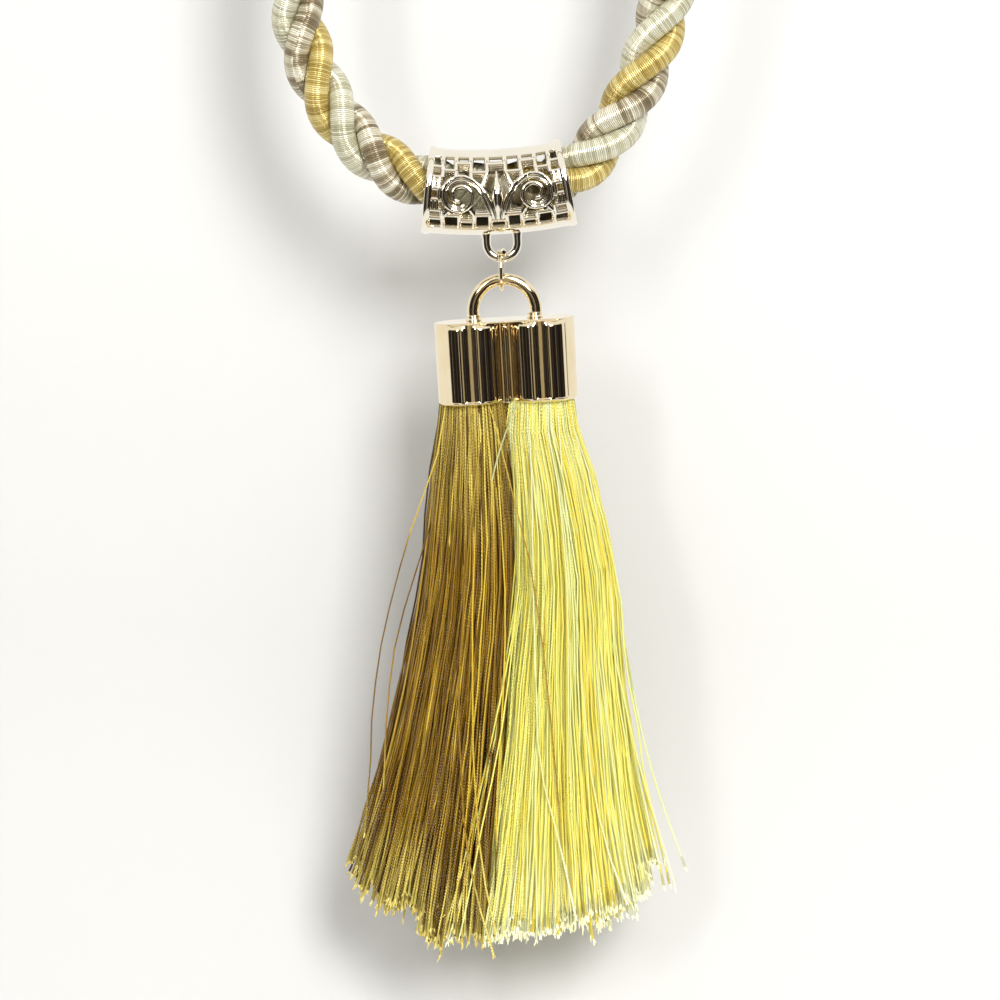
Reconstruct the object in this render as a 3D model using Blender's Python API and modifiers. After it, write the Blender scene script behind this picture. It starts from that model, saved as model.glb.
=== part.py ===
"""Curtain tieback tassel, hanging from a wall hook.

A twisted three-ply rope carries a fretwork bail.  A jump ring joins the bail's ring to the ring of a
double-barrel cap, and the cap holds two bundles of long strands.  Metres, +Z up, front towards -Y.
The origin is the top of the hook, where both end loops of the rope hang.
"""
import math

import bmesh
import bpy
from mathutils import Matrix, Vector

MM = 0.001
PART_NAME = "curtain_tieback_tassel"
CLEARANCE = 0.3 * MM              # gap between pieces that meet

# Rope: three plies, right-handed twist
ROPE_DIAMETER = 13.4 * MM
ROPE_VALLEY_RADIUS = 4.1 * MM     # between two plies
ROPE_LAY = 34.8 * MM              # one full turn
GOLD_FRONT_AT = 220.8 * MM        # along the route, where the gold ply faces the front
ROPE_STEPS_PER_TURN = 12
PLY_COUNT = 3
PLY_POINTS = 4                    # section points on each ply
# The rope's centreline from the left whipping, down, through the bail and up again: x and z
ROPE_ROUTE = (
    (-11.7 * MM, -39.3 * MM),
    (-19.0 * MM, -68.0 * MM),
    (-29.5 * MM, -104.0 * MM),
    (-40.0 * MM, -142.0 * MM),
    (-47.5 * MM, -180.0 * MM),
    (-50.6 * MM, -212.0 * MM),
    (-50.1 * MM, -235.0 * MM),
    (-46.2 * MM, -251.5 * MM),
    (-37.4 * MM, -266.6 * MM),
    (-27.2 * MM, -275.2 * MM),
    (-18.4 * MM, -278.9 * MM),
    (-10.0 * MM, -280.3 * MM),
    (-1.5 * MM, -280.7 * MM),
    (8.0 * MM, -279.5 * MM),
    (16.6 * MM, -276.4 * MM),
    (24.6 * MM, -268.7 * MM),
    (31.6 * MM, -257.6 * MM),
    (37.0 * MM, -244.0 * MM),
    (40.6 * MM, -230.0 * MM),
    (44.4 * MM, -205.0 * MM),
    (44.0 * MM, -178.0 * MM),
    (37.8 * MM, -141.0 * MM),
    (28.6 * MM, -104.0 * MM),
    (18.8 * MM, -68.0 * MM),
    (11.7 * MM, -39.3 * MM),
)

# Thread whipping on each rope end
WHIPPING_DIAMETER = 14.6 * MM
WHIPPING_LENGTH = 14.0 * MM
WHIPPING_EDGE = 1.2 * MM
WHIPPING_SIDES = 20
# Unit direction of the left rope end, pointing up to the hook
END_DIRECTION = Vector((0.235, 0.0, 0.972)).normalized()

# Cord loop above each whipping
LOOP_CORD_DIAMETER = 3.2 * MM
LOOP_WIDTH = 17.0 * MM            # between the cord's centrelines
LOOP_POINTS = 22
LOOP_TAPER = 0.3                  # how much narrower the loop is at the whipping
LOOP_PLANE_Y = 1.9 * MM           # the left loop hangs in front, the right one behind

# Bail: a curved tube whose centre of curvature lies above it
BAIL_CENTRE = Vector((-1.4 * MM, 0.0, -281.0 * MM))
BAIL_TILT = math.radians(3.0)     # right end higher
BAIL_ARC_RADIUS = 110.0 * MM
BAIL_HALF_ANGLE = math.radians(9.2)
BAIL_DIAMETER = 21.2 * MM
BAIL_WALL = 1.0 * MM
BAIL_RIM = 0.115                  # rim width, as a share of half the length
FRET_COLUMNS = 7
FRET_BAR = 0.055                  # bar width, as a share of half the length
FRET_ROWS = 5
FRET_TOP = math.radians(59.0)     # the fret reaches this far above and below the middle
FRET_BAR_ANGLE = math.radians(7.0)
BAND_STEPS = 3                    # facets across the plain bands above and below the fret
# Windows (.) and metal (#) of the fret: bricks round a stem and two round bosses
FRET_MASK = (
    ".......",
    "...#...",
    ".#.#.#.",
    "...#...",
    ".......",
)
BAIL_RING_X = 0.5 * MM            # from the bail's middle
BAIL_RING_RADIUS = 3.8 * MM
BAIL_RING_WIRE = 1.05 * MM
BAIL_RING_LEG = 2.4 * MM

# Jump ring
JUMP_RING_CENTRE = Vector((-0.35 * MM, 0.0, -300.05 * MM))
JUMP_RING_RADIUS = 4.75 * MM
JUMP_RING_WIRE = 0.5 * MM

# Cap: two barrels side by side under one top plate, with two flutes on the front of each
CAP_CENTRE = Vector((0.8 * MM, 0.0, -322.4 * MM))
CAP_TILT = math.radians(3.25)
CAP_HEIGHT = 19.6 * MM
BARREL_RADIUS = 8.6 * MM
BARREL_OFFSET = 8.7 * MM          # from the cap's middle
BARREL_STEPS = 20                 # facets from a barrel's outer side to the waist
RIDGE_HALF_WIDTH = 1.2 * MM       # upright ridge that fills the waist between the barrels
RIDGE_RISE = 0.9 * MM
CAP_WALL = 1.1 * MM
CAP_ROOF = 1.8 * MM
PLATE_HALF_DEPTH = 7.3 * MM
PLATE_THICKNESS = 1.4 * MM
PLATE_EDGE = 0.3 * MM
FLUTE_ANGLE = math.radians(19.0)  # each side of a barrel's front
FLUTE_HALF_ANGLE = math.radians(14.0)
FLUTE_RISE = 0.7 * MM

# Ring on top of the cap
CAP_RING_RADIUS = 7.6 * MM
CAP_RING_WIRE = 1.35 * MM
CAP_RING_TOP = -301.2 * MM
CAP_RING_X = 0.35 * MM
CAP_RING_STEPS = 18
CAP_RING_SWEEP = math.radians(104.0)   # each side of the top, a little past the half circle

# Skirt: two bundles of strands
HEAD_DROP = 2.0 * MM              # the heads end this far above the cap's rim
HEAD_HEIGHT = 9.0 * MM
HEAD_RADIUS = 6.5 * MM
HEAD_OFFSET = 8.35 * MM           # from the middle of the cap
HEAD_SHIFT = 0.2 * MM             # to the right, with the tilted cap
BUNDLE_EDGE = 0.95                # outer edge of a bundle, as a share of the skirt's half width
BUNDLE_GAP = 0.02                 # inner edge
HEAD_GRID = 8                     # squares across a head, two roots in each
STRAND_INSET = 0.035              # round each root, as a share of the head's radius
STRAND_LEVELS = (0.14, 0.48, 0.94, 1.0)   # shares of a strand's length
STRAND_SWELL = 2.4                # how much thicker a strand is near its tip
STRAND_TIP = 1.3                  # size of the cut tip, as a share of the root
ROOT_JITTER = 0.035               # as a share of the head's radius
WANDER = 2.4 * MM                 # sideways drift of whole rows of strands at the tips
# The skirt's outline at some heights: z, left x, right x, half depth
SKIRT_ROWS = (
    (-331.5 * MM, -15.0 * MM, 16.8 * MM, 7.0 * MM),
    (-340.0 * MM, -16.8 * MM, 19.0 * MM, 8.2 * MM),
    (-350.0 * MM, -17.8 * MM, 21.8 * MM, 9.4 * MM),
    (-372.0 * MM, -19.8 * MM, 26.2 * MM, 11.6 * MM),
    (-396.0 * MM, -23.4 * MM, 29.6 * MM, 14.2 * MM),
    (-422.0 * MM, -28.8 * MM, 33.2 * MM, 17.0 * MM),
    (-448.0 * MM, -35.6 * MM, 36.4 * MM, 19.4 * MM),
    (-474.0 * MM, -43.0 * MM, 40.6 * MM, 21.6 * MM),
)
TIP_LOWEST = -466.0 * MM
TIP_ARC_RADIUS = 56.0 * MM        # the cut ends follow an arc
TIP_ARC_X = 0.5 * MM              # where it is lowest
TIP_RAGGED = 3.0 * MM

COLOURS = {                       # base colour, roughness, metallic
    "rope": ((0.62, 0.49, 0.27), 0.45, 0.0),
    "whipping": ((0.56, 0.38, 0.12), 0.45, 0.0),
    "end_loop": ((0.72, 0.64, 0.40), 0.5, 0.0),
    "champagne_metal": ((0.82, 0.74, 0.60), 0.12, 1.0),
    "gold_metal": ((0.86, 0.66, 0.38), 0.12, 1.0),
    "skirt_gold": ((0.48, 0.31, 0.06), 0.4, 0.0),
    "skirt_pale": ((0.86, 0.80, 0.38), 0.4, 0.0),
}


def clear_scene():
    """Remove whatever the scene holds."""
    for scene_object in list(bpy.data.objects):
        bpy.data.objects.remove(scene_object, do_unlink=True)


def new_collection(name):
    """A collection linked to the scene."""
    collection = bpy.data.collections.new(name)
    bpy.context.scene.collection.children.link(collection)
    return collection


def new_material(name):
    """A Principled material from the table of colours."""
    colour, roughness, metallic = COLOURS[name]
    material = bpy.data.materials.new(name)
    material.use_nodes = True
    shader = material.node_tree.nodes["Principled BSDF"]
    shader.inputs["Base Color"].default_value = (*colour, 1.0)
    shader.inputs["Roughness"].default_value = roughness
    shader.inputs["Metallic"].default_value = metallic
    return material


def place(new_object, collection, material=None):
    """Put an object in one collection only, with its material."""
    for other in list(new_object.users_collection):
        other.objects.unlink(new_object)
    collection.objects.link(new_object)
    if material:
        new_object.data.materials.append(material)
    return new_object


def mesh_object(name, bm, collection, material=None):
    """Turn a bmesh into an object."""
    bmesh.ops.recalc_face_normals(bm, faces=bm.faces)
    mesh = bpy.data.meshes.new(name)
    bm.to_mesh(mesh)
    bm.free()
    return place(bpy.data.objects.new(name, mesh), collection, material)


def wire_object(name, points, radius, closed, collection, material=None):
    """A round wire along a list of points."""
    curve = bpy.data.curves.new(name, "CURVE")
    curve.dimensions = "3D"
    curve.bevel_depth = radius
    curve.bevel_resolution = 2
    curve.use_fill_caps = not closed
    spline = curve.splines.new("POLY")
    spline.points.add(len(points) - 1)
    for spline_point, point in zip(spline.points, points):
        spline_point.co = (*point, 1.0)
    spline.use_cyclic_u = closed
    return place(bpy.data.objects.new(name, curve), collection, material)


def loft(rings):
    """A closed body through rings of equal point counts, with a face across each end."""
    bm = bmesh.new()
    ring_verts = [[bm.verts.new(point) for point in ring] for ring in rings]
    count = len(rings[0])
    for lower, upper in zip(ring_verts, ring_verts[1:]):
        for i in range(count):
            j = (i + 1) % count
            bm.faces.new((lower[i], lower[j], upper[j], upper[i]))
    bm.faces.new(ring_verts[0])
    bm.faces.new(ring_verts[-1])
    return bm


def smooth_route(points, spacing):
    """Points at an even spacing on a Catmull-Rom curve through the given points."""
    ends = [2 * points[0] - points[1], *points, 2 * points[-1] - points[-2]]
    fine = []
    for before, start, end, after in zip(ends, ends[1:], ends[2:], ends[3:]):
        for step in range(24):
            t = step / 24
            fine.append(0.5 * (2 * start + (end - before) * t
                               + (2 * before - 5 * start + 4 * end - after) * t ** 2
                               + (3 * start - before - 3 * end + after) * t ** 3))
    fine.append(points[-1].copy())
    lengths = [0.0]
    for start, end in zip(fine, fine[1:]):
        lengths.append(lengths[-1] + (end - start).length)
    count = max(2, round(lengths[-1] / spacing))
    even = []
    index = 0
    for step in range(count + 1):
        target = lengths[-1] * step / count
        while index < len(fine) - 2 and lengths[index + 1] < target:
            index += 1
        share = (target - lengths[index]) / (lengths[index + 1] - lengths[index])
        even.append(fine[index].lerp(fine[index + 1], min(1.0, share)))
    return even


def rope_section():
    """Polar points of the rope's three-lobed section: angle and radius."""
    crest = ROPE_DIAMETER / 2
    half_lobe = math.pi / PLY_COUNT
    section = []
    for i in range(PLY_COUNT * PLY_POINTS):
        angle = 2 * math.pi * i / (PLY_COUNT * PLY_POINTS)
        from_crest = abs((angle + half_lobe) % (2 * half_lobe) - half_lobe) / half_lobe
        section.append((angle, crest - (crest - ROPE_VALLEY_RADIUS) * from_crest ** 2.2))
    return section


def make_rope(collection):
    """The twisted rope: its lobed section turns once in each lay as it follows the route."""
    route = [Vector((x, 0.0, z)) for x, z in ROPE_ROUTE]
    centres = smooth_route(route, ROPE_LAY / ROPE_STEPS_PER_TURN)
    section = rope_section()
    rings = []
    travelled = 0.0
    for i, centre in enumerate(centres):
        before = centres[max(i - 1, 0)]
        after = centres[min(i + 1, len(centres) - 1)]
        along = (after - before).normalized()
        sideways = Vector((0.0, 1.0, 0.0))
        outward = sideways.cross(along)
        travelled += (centre - before).length
        twist = math.pi / 2 + 2 * math.pi * (GOLD_FRONT_AT - travelled) / ROPE_LAY
        rings.append([centre + radius * (math.cos(angle + twist) * outward
                                         - math.sin(angle + twist) * sideways)
                      for angle, radius in section])
    bm = loft(rings)
    bmesh.ops.triangulate(bm, faces=bm.faces, quad_method="SHORT_EDGE")
    return mesh_object("rope", bm, collection, new_material("rope"))


def mirrored(vector, side):
    """A vector for the left (-1) or the right (1) end of the rope, given the left one."""
    return Vector((vector.x * -side, vector.y, vector.z))


def make_rope_end(side, collection):
    """The whipping on one rope end and the cord loop above it."""
    name = "left" if side < 0 else "right"
    along = mirrored(END_DIRECTION, side)
    rope_end = mirrored(Vector((ROPE_ROUTE[0][0], 0.0, ROPE_ROUTE[0][1])), side)
    bottom = rope_end + along * CLEARANCE
    bpy.ops.mesh.primitive_cylinder_add(vertices=WHIPPING_SIDES, radius=WHIPPING_DIAMETER / 2,
                                        depth=WHIPPING_LENGTH)
    whipping = bpy.context.object
    whipping.name = "whipping_" + name
    whipping.location = bottom + along * WHIPPING_LENGTH / 2
    whipping.rotation_euler = along.to_track_quat("Z", "Y").to_euler()
    bevel = whipping.modifiers.new("rounded_edge", "BEVEL")
    bevel.width = WHIPPING_EDGE
    bevel.segments = 2
    place(whipping, collection, new_material("whipping"))

    loop_bottom = bottom + along * (WHIPPING_LENGTH + CLEARANCE + LOOP_CORD_DIAMETER / 2)
    loop_top = Vector((0.0, 0.0, LOOP_CORD_DIAMETER / 2))
    axis = (loop_top - loop_bottom).normalized()
    across = Vector((axis.z, 0.0, -axis.x))
    length = (loop_top - loop_bottom).length
    points = []
    for i in range(LOOP_POINTS):
        turn = 2 * math.pi * i / LOOP_POINTS
        point = loop_bottom + axis * length * (1 - math.cos(turn)) / 2
        point += across * LOOP_WIDTH / 2 * math.sin(turn) * (1 - LOOP_TAPER * math.cos(turn))
        point.y = side * LOOP_PLANE_Y
        points.append(point)
    wire_object("end_loop_" + name, points, LOOP_CORD_DIAMETER / 2, True, collection,
                new_material("end_loop"))


def fret_breaks(count, bar, low, high):
    """Edges of evenly spaced cells with bars between them, from low to high."""
    cell = (high - low - bar * (count - 1)) / count
    edges = []
    for i in range(count):
        start = low + i * (cell + bar)
        edges += [start, start + cell]
    return edges


def bail_point(share, angle, radius):
    """A point of the bail's tube: share runs along it from -1 to 1, angle up from the front."""
    turn = share * BAIL_HALF_ANGLE
    inward = Vector((-math.sin(turn), 0.0, math.cos(turn)))
    front = Vector((0.0, -1.0, 0.0))
    axis = Vector((0.0, 0.0, BAIL_ARC_RADIUS)) - inward * BAIL_ARC_RADIUS
    return axis + radius * (math.cos(angle) * front + math.sin(angle) * inward)


def bail_shell():
    """The bail's outer surface as an open grid with its fret windows left out."""
    shares = [-1.0, *fret_breaks(FRET_COLUMNS, FRET_BAR, BAIL_RIM - 1.0, 1.0 - BAIL_RIM), 1.0]
    fret_angles = fret_breaks(FRET_ROWS, FRET_BAR_ANGLE, -FRET_TOP, FRET_TOP)
    band = math.pi - 2 * FRET_TOP
    upper_band = [FRET_TOP + band * i / BAND_STEPS for i in range(1, BAND_STEPS)]
    half_turn = fret_angles + upper_band
    angles = half_turn + [angle + math.pi for angle in half_turn]
    bm = bmesh.new()
    rows = [[bm.verts.new(bail_point(share, angle, BAIL_DIAMETER / 2)) for share in shares]
            for angle in angles]
    for r, row in enumerate(rows):
        next_row = rows[(r + 1) % len(rows)]
        fret_row = r % len(half_turn)
        for c in range(len(shares) - 1):
            is_cell = fret_row % 2 == 0 and fret_row < 2 * FRET_ROWS and c % 2 == 1
            if is_cell and FRET_MASK[fret_row // 2][c // 2] == ".":
                continue
            bm.faces.new((row[c], row[c + 1], next_row[c + 1], next_row[c]))
    return bm


def make_bail(collection, cutters):
    """The fretwork tube with the half ring cast under it."""
    bail = mesh_object("bail", bail_shell(), collection, new_material("champagne_metal"))
    wall = bail.modifiers.new("wall", "SOLIDIFY")
    wall.thickness = BAIL_WALL
    wall.offset = -1.0
    foot = -BAIL_DIAMETER / 2 + BAIL_WALL / 2
    leg_end = foot - BAIL_RING_LEG
    points = [Vector((BAIL_RING_X - BAIL_RING_RADIUS, 0.0, foot))]
    for i in range(13):
        turn = math.pi * i / 12
        points.append(Vector((BAIL_RING_X - BAIL_RING_RADIUS * math.cos(turn), 0.0,
                              leg_end - BAIL_RING_RADIUS * math.sin(turn))))
    points.append(Vector((BAIL_RING_X + BAIL_RING_RADIUS, 0.0, foot)))
    ring_curve = wire_object("bail_ring_curve", points, BAIL_RING_WIRE, False, cutters)
    ring = solid_from_curve(ring_curve, "bail_ring_form", cutters)
    placing = Matrix.Translation(BAIL_CENTRE) @ Matrix.Rotation(-BAIL_TILT, 4, "Y")
    bail.matrix_world = placing
    ring.matrix_world = placing
    join = bail.modifiers.new("ring", "BOOLEAN")
    join.operation = "UNION"
    join.object = ring


def solid_from_curve(curve_object, name, cutters):
    """A hidden mesh with the shape of a curve object, which it replaces."""
    bpy.context.view_layer.update()
    evaluated = curve_object.evaluated_get(bpy.context.evaluated_depsgraph_get())
    mesh = bpy.data.meshes.new_from_object(evaluated)
    bm = bmesh.new()
    bm.from_mesh(mesh)
    bmesh.ops.remove_doubles(bm, verts=bm.verts, dist=0.01 * MM)
    bmesh.ops.recalc_face_normals(bm, faces=bm.faces)
    bm.to_mesh(mesh)
    bm.free()
    form = place(bpy.data.objects.new(name, mesh), cutters)
    form.hide_render = True
    form.display_type = "WIRE"
    bpy.data.objects.remove(curve_object, do_unlink=True)
    return form


def make_jump_ring(collection):
    """The round wire ring, seen edge-on, that joins the bail to the cap."""
    bpy.ops.mesh.primitive_torus_add(major_radius=JUMP_RING_RADIUS, minor_radius=JUMP_RING_WIRE,
                                     major_segments=28, minor_segments=8,
                                     location=JUMP_RING_CENTRE, rotation=(0.0, math.pi / 2, 0.0))
    ring = bpy.context.object
    ring.name = "jump_ring"
    place(ring, collection, new_material("gold_metal"))


def make_cap_ring(collection):
    """The D-shaped ring that stands on the cap."""
    centre = Vector((CAP_RING_X, 0.0, CAP_RING_TOP - CAP_RING_WIRE - CAP_RING_RADIUS))
    points = []
    for i in range(CAP_RING_STEPS + 1):
        turn = CAP_RING_SWEEP * (2 * i / CAP_RING_STEPS - 1)
        points.append(centre + CAP_RING_RADIUS * Vector((math.sin(turn), 0.0, math.cos(turn))))
    wire_object("cap_ring", points, CAP_RING_WIRE, False, collection, new_material("gold_metal"))


def barrel_front(inset, fluted):
    """The front of the left barrel as x and depth, from its outer side to the waist."""
    radius = BARREL_RADIUS - inset
    waist = math.acos((BARREL_OFFSET - RIDGE_HALF_WIDTH) / BARREL_RADIUS)
    points = []
    for i in range(BARREL_STEPS + 1):
        turn = (math.pi - waist) * i / BARREL_STEPS
        off_flute = (abs(turn - math.pi / 2) - FLUTE_ANGLE) / FLUTE_HALF_ANGLE
        rise = fluted * max(0.0, FLUTE_RISE * (1 - off_flute ** 2))
        points.append((-BARREL_OFFSET - (radius + rise) * math.cos(turn),
                       (radius + rise) * math.sin(turn)))
    return points


def whole_outline(left_front, middle_depth, z):
    """A closed outline from the left half of its front, the same on the right and at the back."""
    front = [Vector((x, -depth, z)) for x, depth in left_front]
    front.append(Vector((0.0, -middle_depth, z)))
    front += [Vector((-x, -depth, z)) for x, depth in reversed(left_front)]
    back = [Vector((point.x, -point.y, z)) for point in reversed(front[1:-1])]
    return front + back


def barrel_outline(inset, fluted, z):
    """The two barrels' plan outline, moved in by inset."""
    left_front = barrel_front(inset, fluted)
    return whole_outline(left_front, left_front[-1][1] + fluted * RIDGE_RISE, z)


def plate_outline(inset, z):
    """The top plate's plan outline: straight front and back, round ends."""
    edge_depth = PLATE_HALF_DEPTH - inset
    left_front = []
    for x, depth in barrel_front(inset, 0.0):
        is_end = x < -BARREL_OFFSET
        left_front.append((x, min(depth, edge_depth) if is_end else edge_depth))
    return whole_outline(left_front, edge_depth, z)


def make_cap(collection):
    """The fluted double-barrel cap, open underneath for the heads of the two bundles."""
    top = CAP_HEIGHT / 2
    plate_bottom = top - PLATE_THICKNESS
    rings = (
        barrel_outline(CAP_WALL, 0.0, top - CAP_ROOF),
        barrel_outline(CAP_WALL, 0.0, -top),
        barrel_outline(0.0, 1.0, -top),
        barrel_outline(0.0, 1.0, plate_bottom - 2 * PLATE_EDGE),
        plate_outline(0.0, plate_bottom),
        plate_outline(0.0, top - PLATE_EDGE),
        plate_outline(PLATE_EDGE, top),
    )
    cap = mesh_object("cap", loft(rings), collection, new_material("gold_metal"))
    cap.location = CAP_CENTRE
    cap.rotation_euler = (0.0, -CAP_TILT, 0.0)


def skirt_row(z):
    """Left x, right x and half depth of the skirt's outline at a height."""
    for upper, lower in zip(SKIRT_ROWS, SKIRT_ROWS[1:]):
        if z >= lower[0]:
            share = (upper[0] - z) / (upper[0] - lower[0])
            return [a + (b - a) * share for a, b in zip(upper[1:], lower[1:])]
    return SKIRT_ROWS[-1][1:]


def strand_point(across, depth, share, ragged):
    """A point of a strand: across and depth run from -1 to 1, share from its root to its tip."""
    left, right, _ = SKIRT_ROWS[-1][1:]
    tip_x = (left + right) / 2 + across * (right - left) / 2
    rise = TIP_ARC_RADIUS - math.sqrt(TIP_ARC_RADIUS ** 2 - (tip_x - TIP_ARC_X) ** 2)
    tip_z = TIP_LOWEST + rise + ragged
    top_z = SKIRT_ROWS[0][0]
    z = top_z + (tip_z - top_z) * share
    left, right, half_depth = skirt_row(z)
    reach = math.sqrt(1 - 0.45 * across ** 2)
    x = (left + right) / 2 + across * (right - left) / 2
    x += WANDER * share ** 2 * math.sin(7.3 * depth + 1.0)
    y = depth * half_depth * reach + WANDER * share ** 2 * math.sin(8.0 * across) / 2
    return Vector((x, y, z))


def make_skirt(name, side, collection):
    """One bundle: a round head inside the cap, and strands that grow from it and fan out."""
    bm = bmesh.new()
    bmesh.ops.create_grid(bm, x_segments=HEAD_GRID, y_segments=HEAD_GRID, size=1.0)
    for i, vert in enumerate(bm.verts):
        jitter = 0.0 if vert.is_boundary else ROOT_JITTER
        vert.co += jitter * Vector((math.sin(i * 2.7), math.cos(i * 3.9), 0.0))
    bmesh.ops.triangulate(bm, faces=bm.faces)
    roots = list(bm.faces)
    rim = bmesh.ops.extrude_edge_only(bm, edges=[e for e in bm.edges if e.is_boundary])["geom"]
    for vert in [item for item in rim if isinstance(item, bmesh.types.BMVert)]:
        vert.co.z = 1.0
    bmesh.ops.contextual_create(bm, geom=[item for item in rim if isinstance(item, bmesh.types.BMEdge)])
    bmesh.ops.recalc_face_normals(bm, faces=bm.faces)
    bmesh.ops.inset_individual(bm, faces=roots, thickness=STRAND_INSET)
    squares = [root.calc_center_median() for root in roots]
    centre_x = CAP_CENTRE.x + HEAD_SHIFT + side * HEAD_OFFSET
    bottom_z = CAP_CENTRE.z - CAP_HEIGHT / 2 + HEAD_DROP
    for vert in bm.verts:
        u, v, level = vert.co
        vert.co = (centre_x + HEAD_RADIUS * u * math.sqrt(1 - v * v / 2),
                   HEAD_RADIUS * v * math.sqrt(1 - u * u / 2),
                   bottom_z + HEAD_HEIGHT * level)
    for index, (root, square) in enumerate(zip(roots, squares)):
        inner = side * BUNDLE_GAP
        outer = side * BUNDLE_EDGE
        across = (inner + outer) / 2 + square.x * (BUNDLE_EDGE - BUNDLE_GAP) / 2
        grow_strand(bm, root, index, across, square.y)
    return mesh_object(name, bm, collection, new_material(name))


def grow_strand(bm, face, index, across, depth):
    """Extrude a root face level by level along its strand's path."""
    centre = face.calc_center_median()
    corners = [vert.co - centre for vert in face.verts]
    ragged = TIP_RAGGED * math.sin(index * 2.399 + across * 40.0)
    for share in STRAND_LEVELS:
        swell = 1 + (STRAND_SWELL - 1) * share if share < 1 else STRAND_TIP
        point = strand_point(across, depth, share, ragged)
        face = bmesh.ops.extrude_discrete_faces(bm, faces=[face])["faces"][0]
        for vert, corner in zip(face.verts, corners):
            vert.co = point + corner * swell


def main():
    """Build the whole tieback."""
    clear_scene()
    collection = new_collection(PART_NAME)
    cutters = new_collection("cutters")
    make_rope(collection)
    make_rope_end(-1, collection)
    make_rope_end(1, collection)
    make_bail(collection, cutters)
    make_jump_ring(collection)
    make_cap_ring(collection)
    make_cap(collection)
    make_skirt("skirt_gold", -1, collection)
    make_skirt("skirt_pale", 1, collection)


main()
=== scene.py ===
"""Curtain tieback tassel as it hangs: the visible pieces, in metres, +Z up, front towards -Y."""

from math import acos, cos, hypot, pi, radians, sin, sqrt, tan  # noqa: E402

import bmesh  # noqa: E402
import bpy  # noqa: E402
import numpy as np  # noqa: E402
from mathutils import Matrix, Vector  # noqa: E402


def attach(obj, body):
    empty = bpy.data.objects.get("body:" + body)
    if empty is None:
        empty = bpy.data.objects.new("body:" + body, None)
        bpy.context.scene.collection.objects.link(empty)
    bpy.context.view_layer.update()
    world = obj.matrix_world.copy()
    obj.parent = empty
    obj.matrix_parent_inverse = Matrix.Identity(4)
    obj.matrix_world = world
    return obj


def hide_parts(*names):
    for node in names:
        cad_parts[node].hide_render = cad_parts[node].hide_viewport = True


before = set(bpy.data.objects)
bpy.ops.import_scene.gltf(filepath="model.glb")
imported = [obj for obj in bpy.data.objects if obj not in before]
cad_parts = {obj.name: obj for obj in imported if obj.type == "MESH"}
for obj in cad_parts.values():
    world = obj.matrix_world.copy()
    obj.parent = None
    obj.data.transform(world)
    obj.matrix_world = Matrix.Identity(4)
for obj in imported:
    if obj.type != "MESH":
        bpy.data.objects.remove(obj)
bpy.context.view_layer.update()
MM = 0.001


# ----------------------------------------
# Camera.  A short telephoto lens looks slightly down at the middle of the
# tassel, so that the rope's two arms leave the picture at its top.
CAMERA_AIM = Vector((-0.75 * MM, 0.0, -357.5 * MM))
CAMERA_DISTANCE = 600 * MM
CAMERA_ELEVATION = radians(9.0)
CAMERA_LENS = 86.4  # mm
camera = bpy.data.objects.new("camera", bpy.data.cameras.new("camera"))
camera.data.lens = CAMERA_LENS
camera.data.clip_start = 10 * MM
camera.location = CAMERA_AIM + CAMERA_DISTANCE * Vector(
    (0.0, -cos(CAMERA_ELEVATION), sin(CAMERA_ELEVATION)))
camera.rotation_euler = (pi / 2 - CAMERA_ELEVATION, 0.0, 0.0)
bpy.context.scene.collection.objects.link(camera)
bpy.context.scene.camera = camera


# ----------------------------------------
# Rope.  Three thick cotton-cored plies, wound closely with shiny rayon thread
# in gold, ivory and mottled taupe, are laid together with a right-handed
# twist.  Its ends go into the whippings, and its middle through the bail.
ROPE_LAY = 34.8 * MM
GOLD_FRONT_AT = 220.8 * MM  # along the route, where the gold ply faces the front
PLY_RADIUS = 3.03 * MM
PLY_HELIX_RADIUS = 3.67 * MM
PLY_STEPS_PER_TURN = 24
WINDING_PITCH = 0.40 * MM
PLY_ROUGHNESS = 0.24
PLY_THREADS = (  # name, shades, share of the mottling, threads in a mottle
    ("rope_gold_ply", ((0.22, (0.33, 0.21, 0.035)), (0.5, (0.66, 0.49, 0.13)),
                       (0.76, (0.95, 0.80, 0.34))), 0.6, 24),
    ("rope_ivory_ply", ((0.22, (0.42, 0.39, 0.24)), (0.5, (0.78, 0.75, 0.53)),
                        (0.76, (0.96, 0.94, 0.78))), 0.6, 24),
    ("rope_taupe_ply", ((0.36, (0.215, 0.16, 0.085)), (0.46, (0.35, 0.28, 0.165)),
                        (0.52, (0.70, 0.63, 0.45)), (0.62, (0.93, 0.88, 0.70))), 0.86, 9))
ROPE_ROUTE = [Vector((x * MM, 0.0, z * MM)) for x, z in (
    (-11.7, -39.3), (-19.0, -68.0), (-29.5, -104.0), (-40.0, -142.0), (-47.5, -180.0),
    (-50.6, -212.0), (-50.1, -235.0), (-46.2, -251.5), (-37.4, -266.6), (-27.2, -275.2),
    (-18.4, -278.9), (-10.0, -280.3), (-1.5, -280.7), (8.0, -279.5), (16.6, -276.4),
    (24.6, -268.7), (31.6, -257.6), (37.0, -244.0), (40.6, -230.0), (44.4, -205.0),
    (44.0, -178.0), (37.8, -141.0), (28.6, -104.0), (18.8, -68.0), (11.7, -39.3))]


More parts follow.
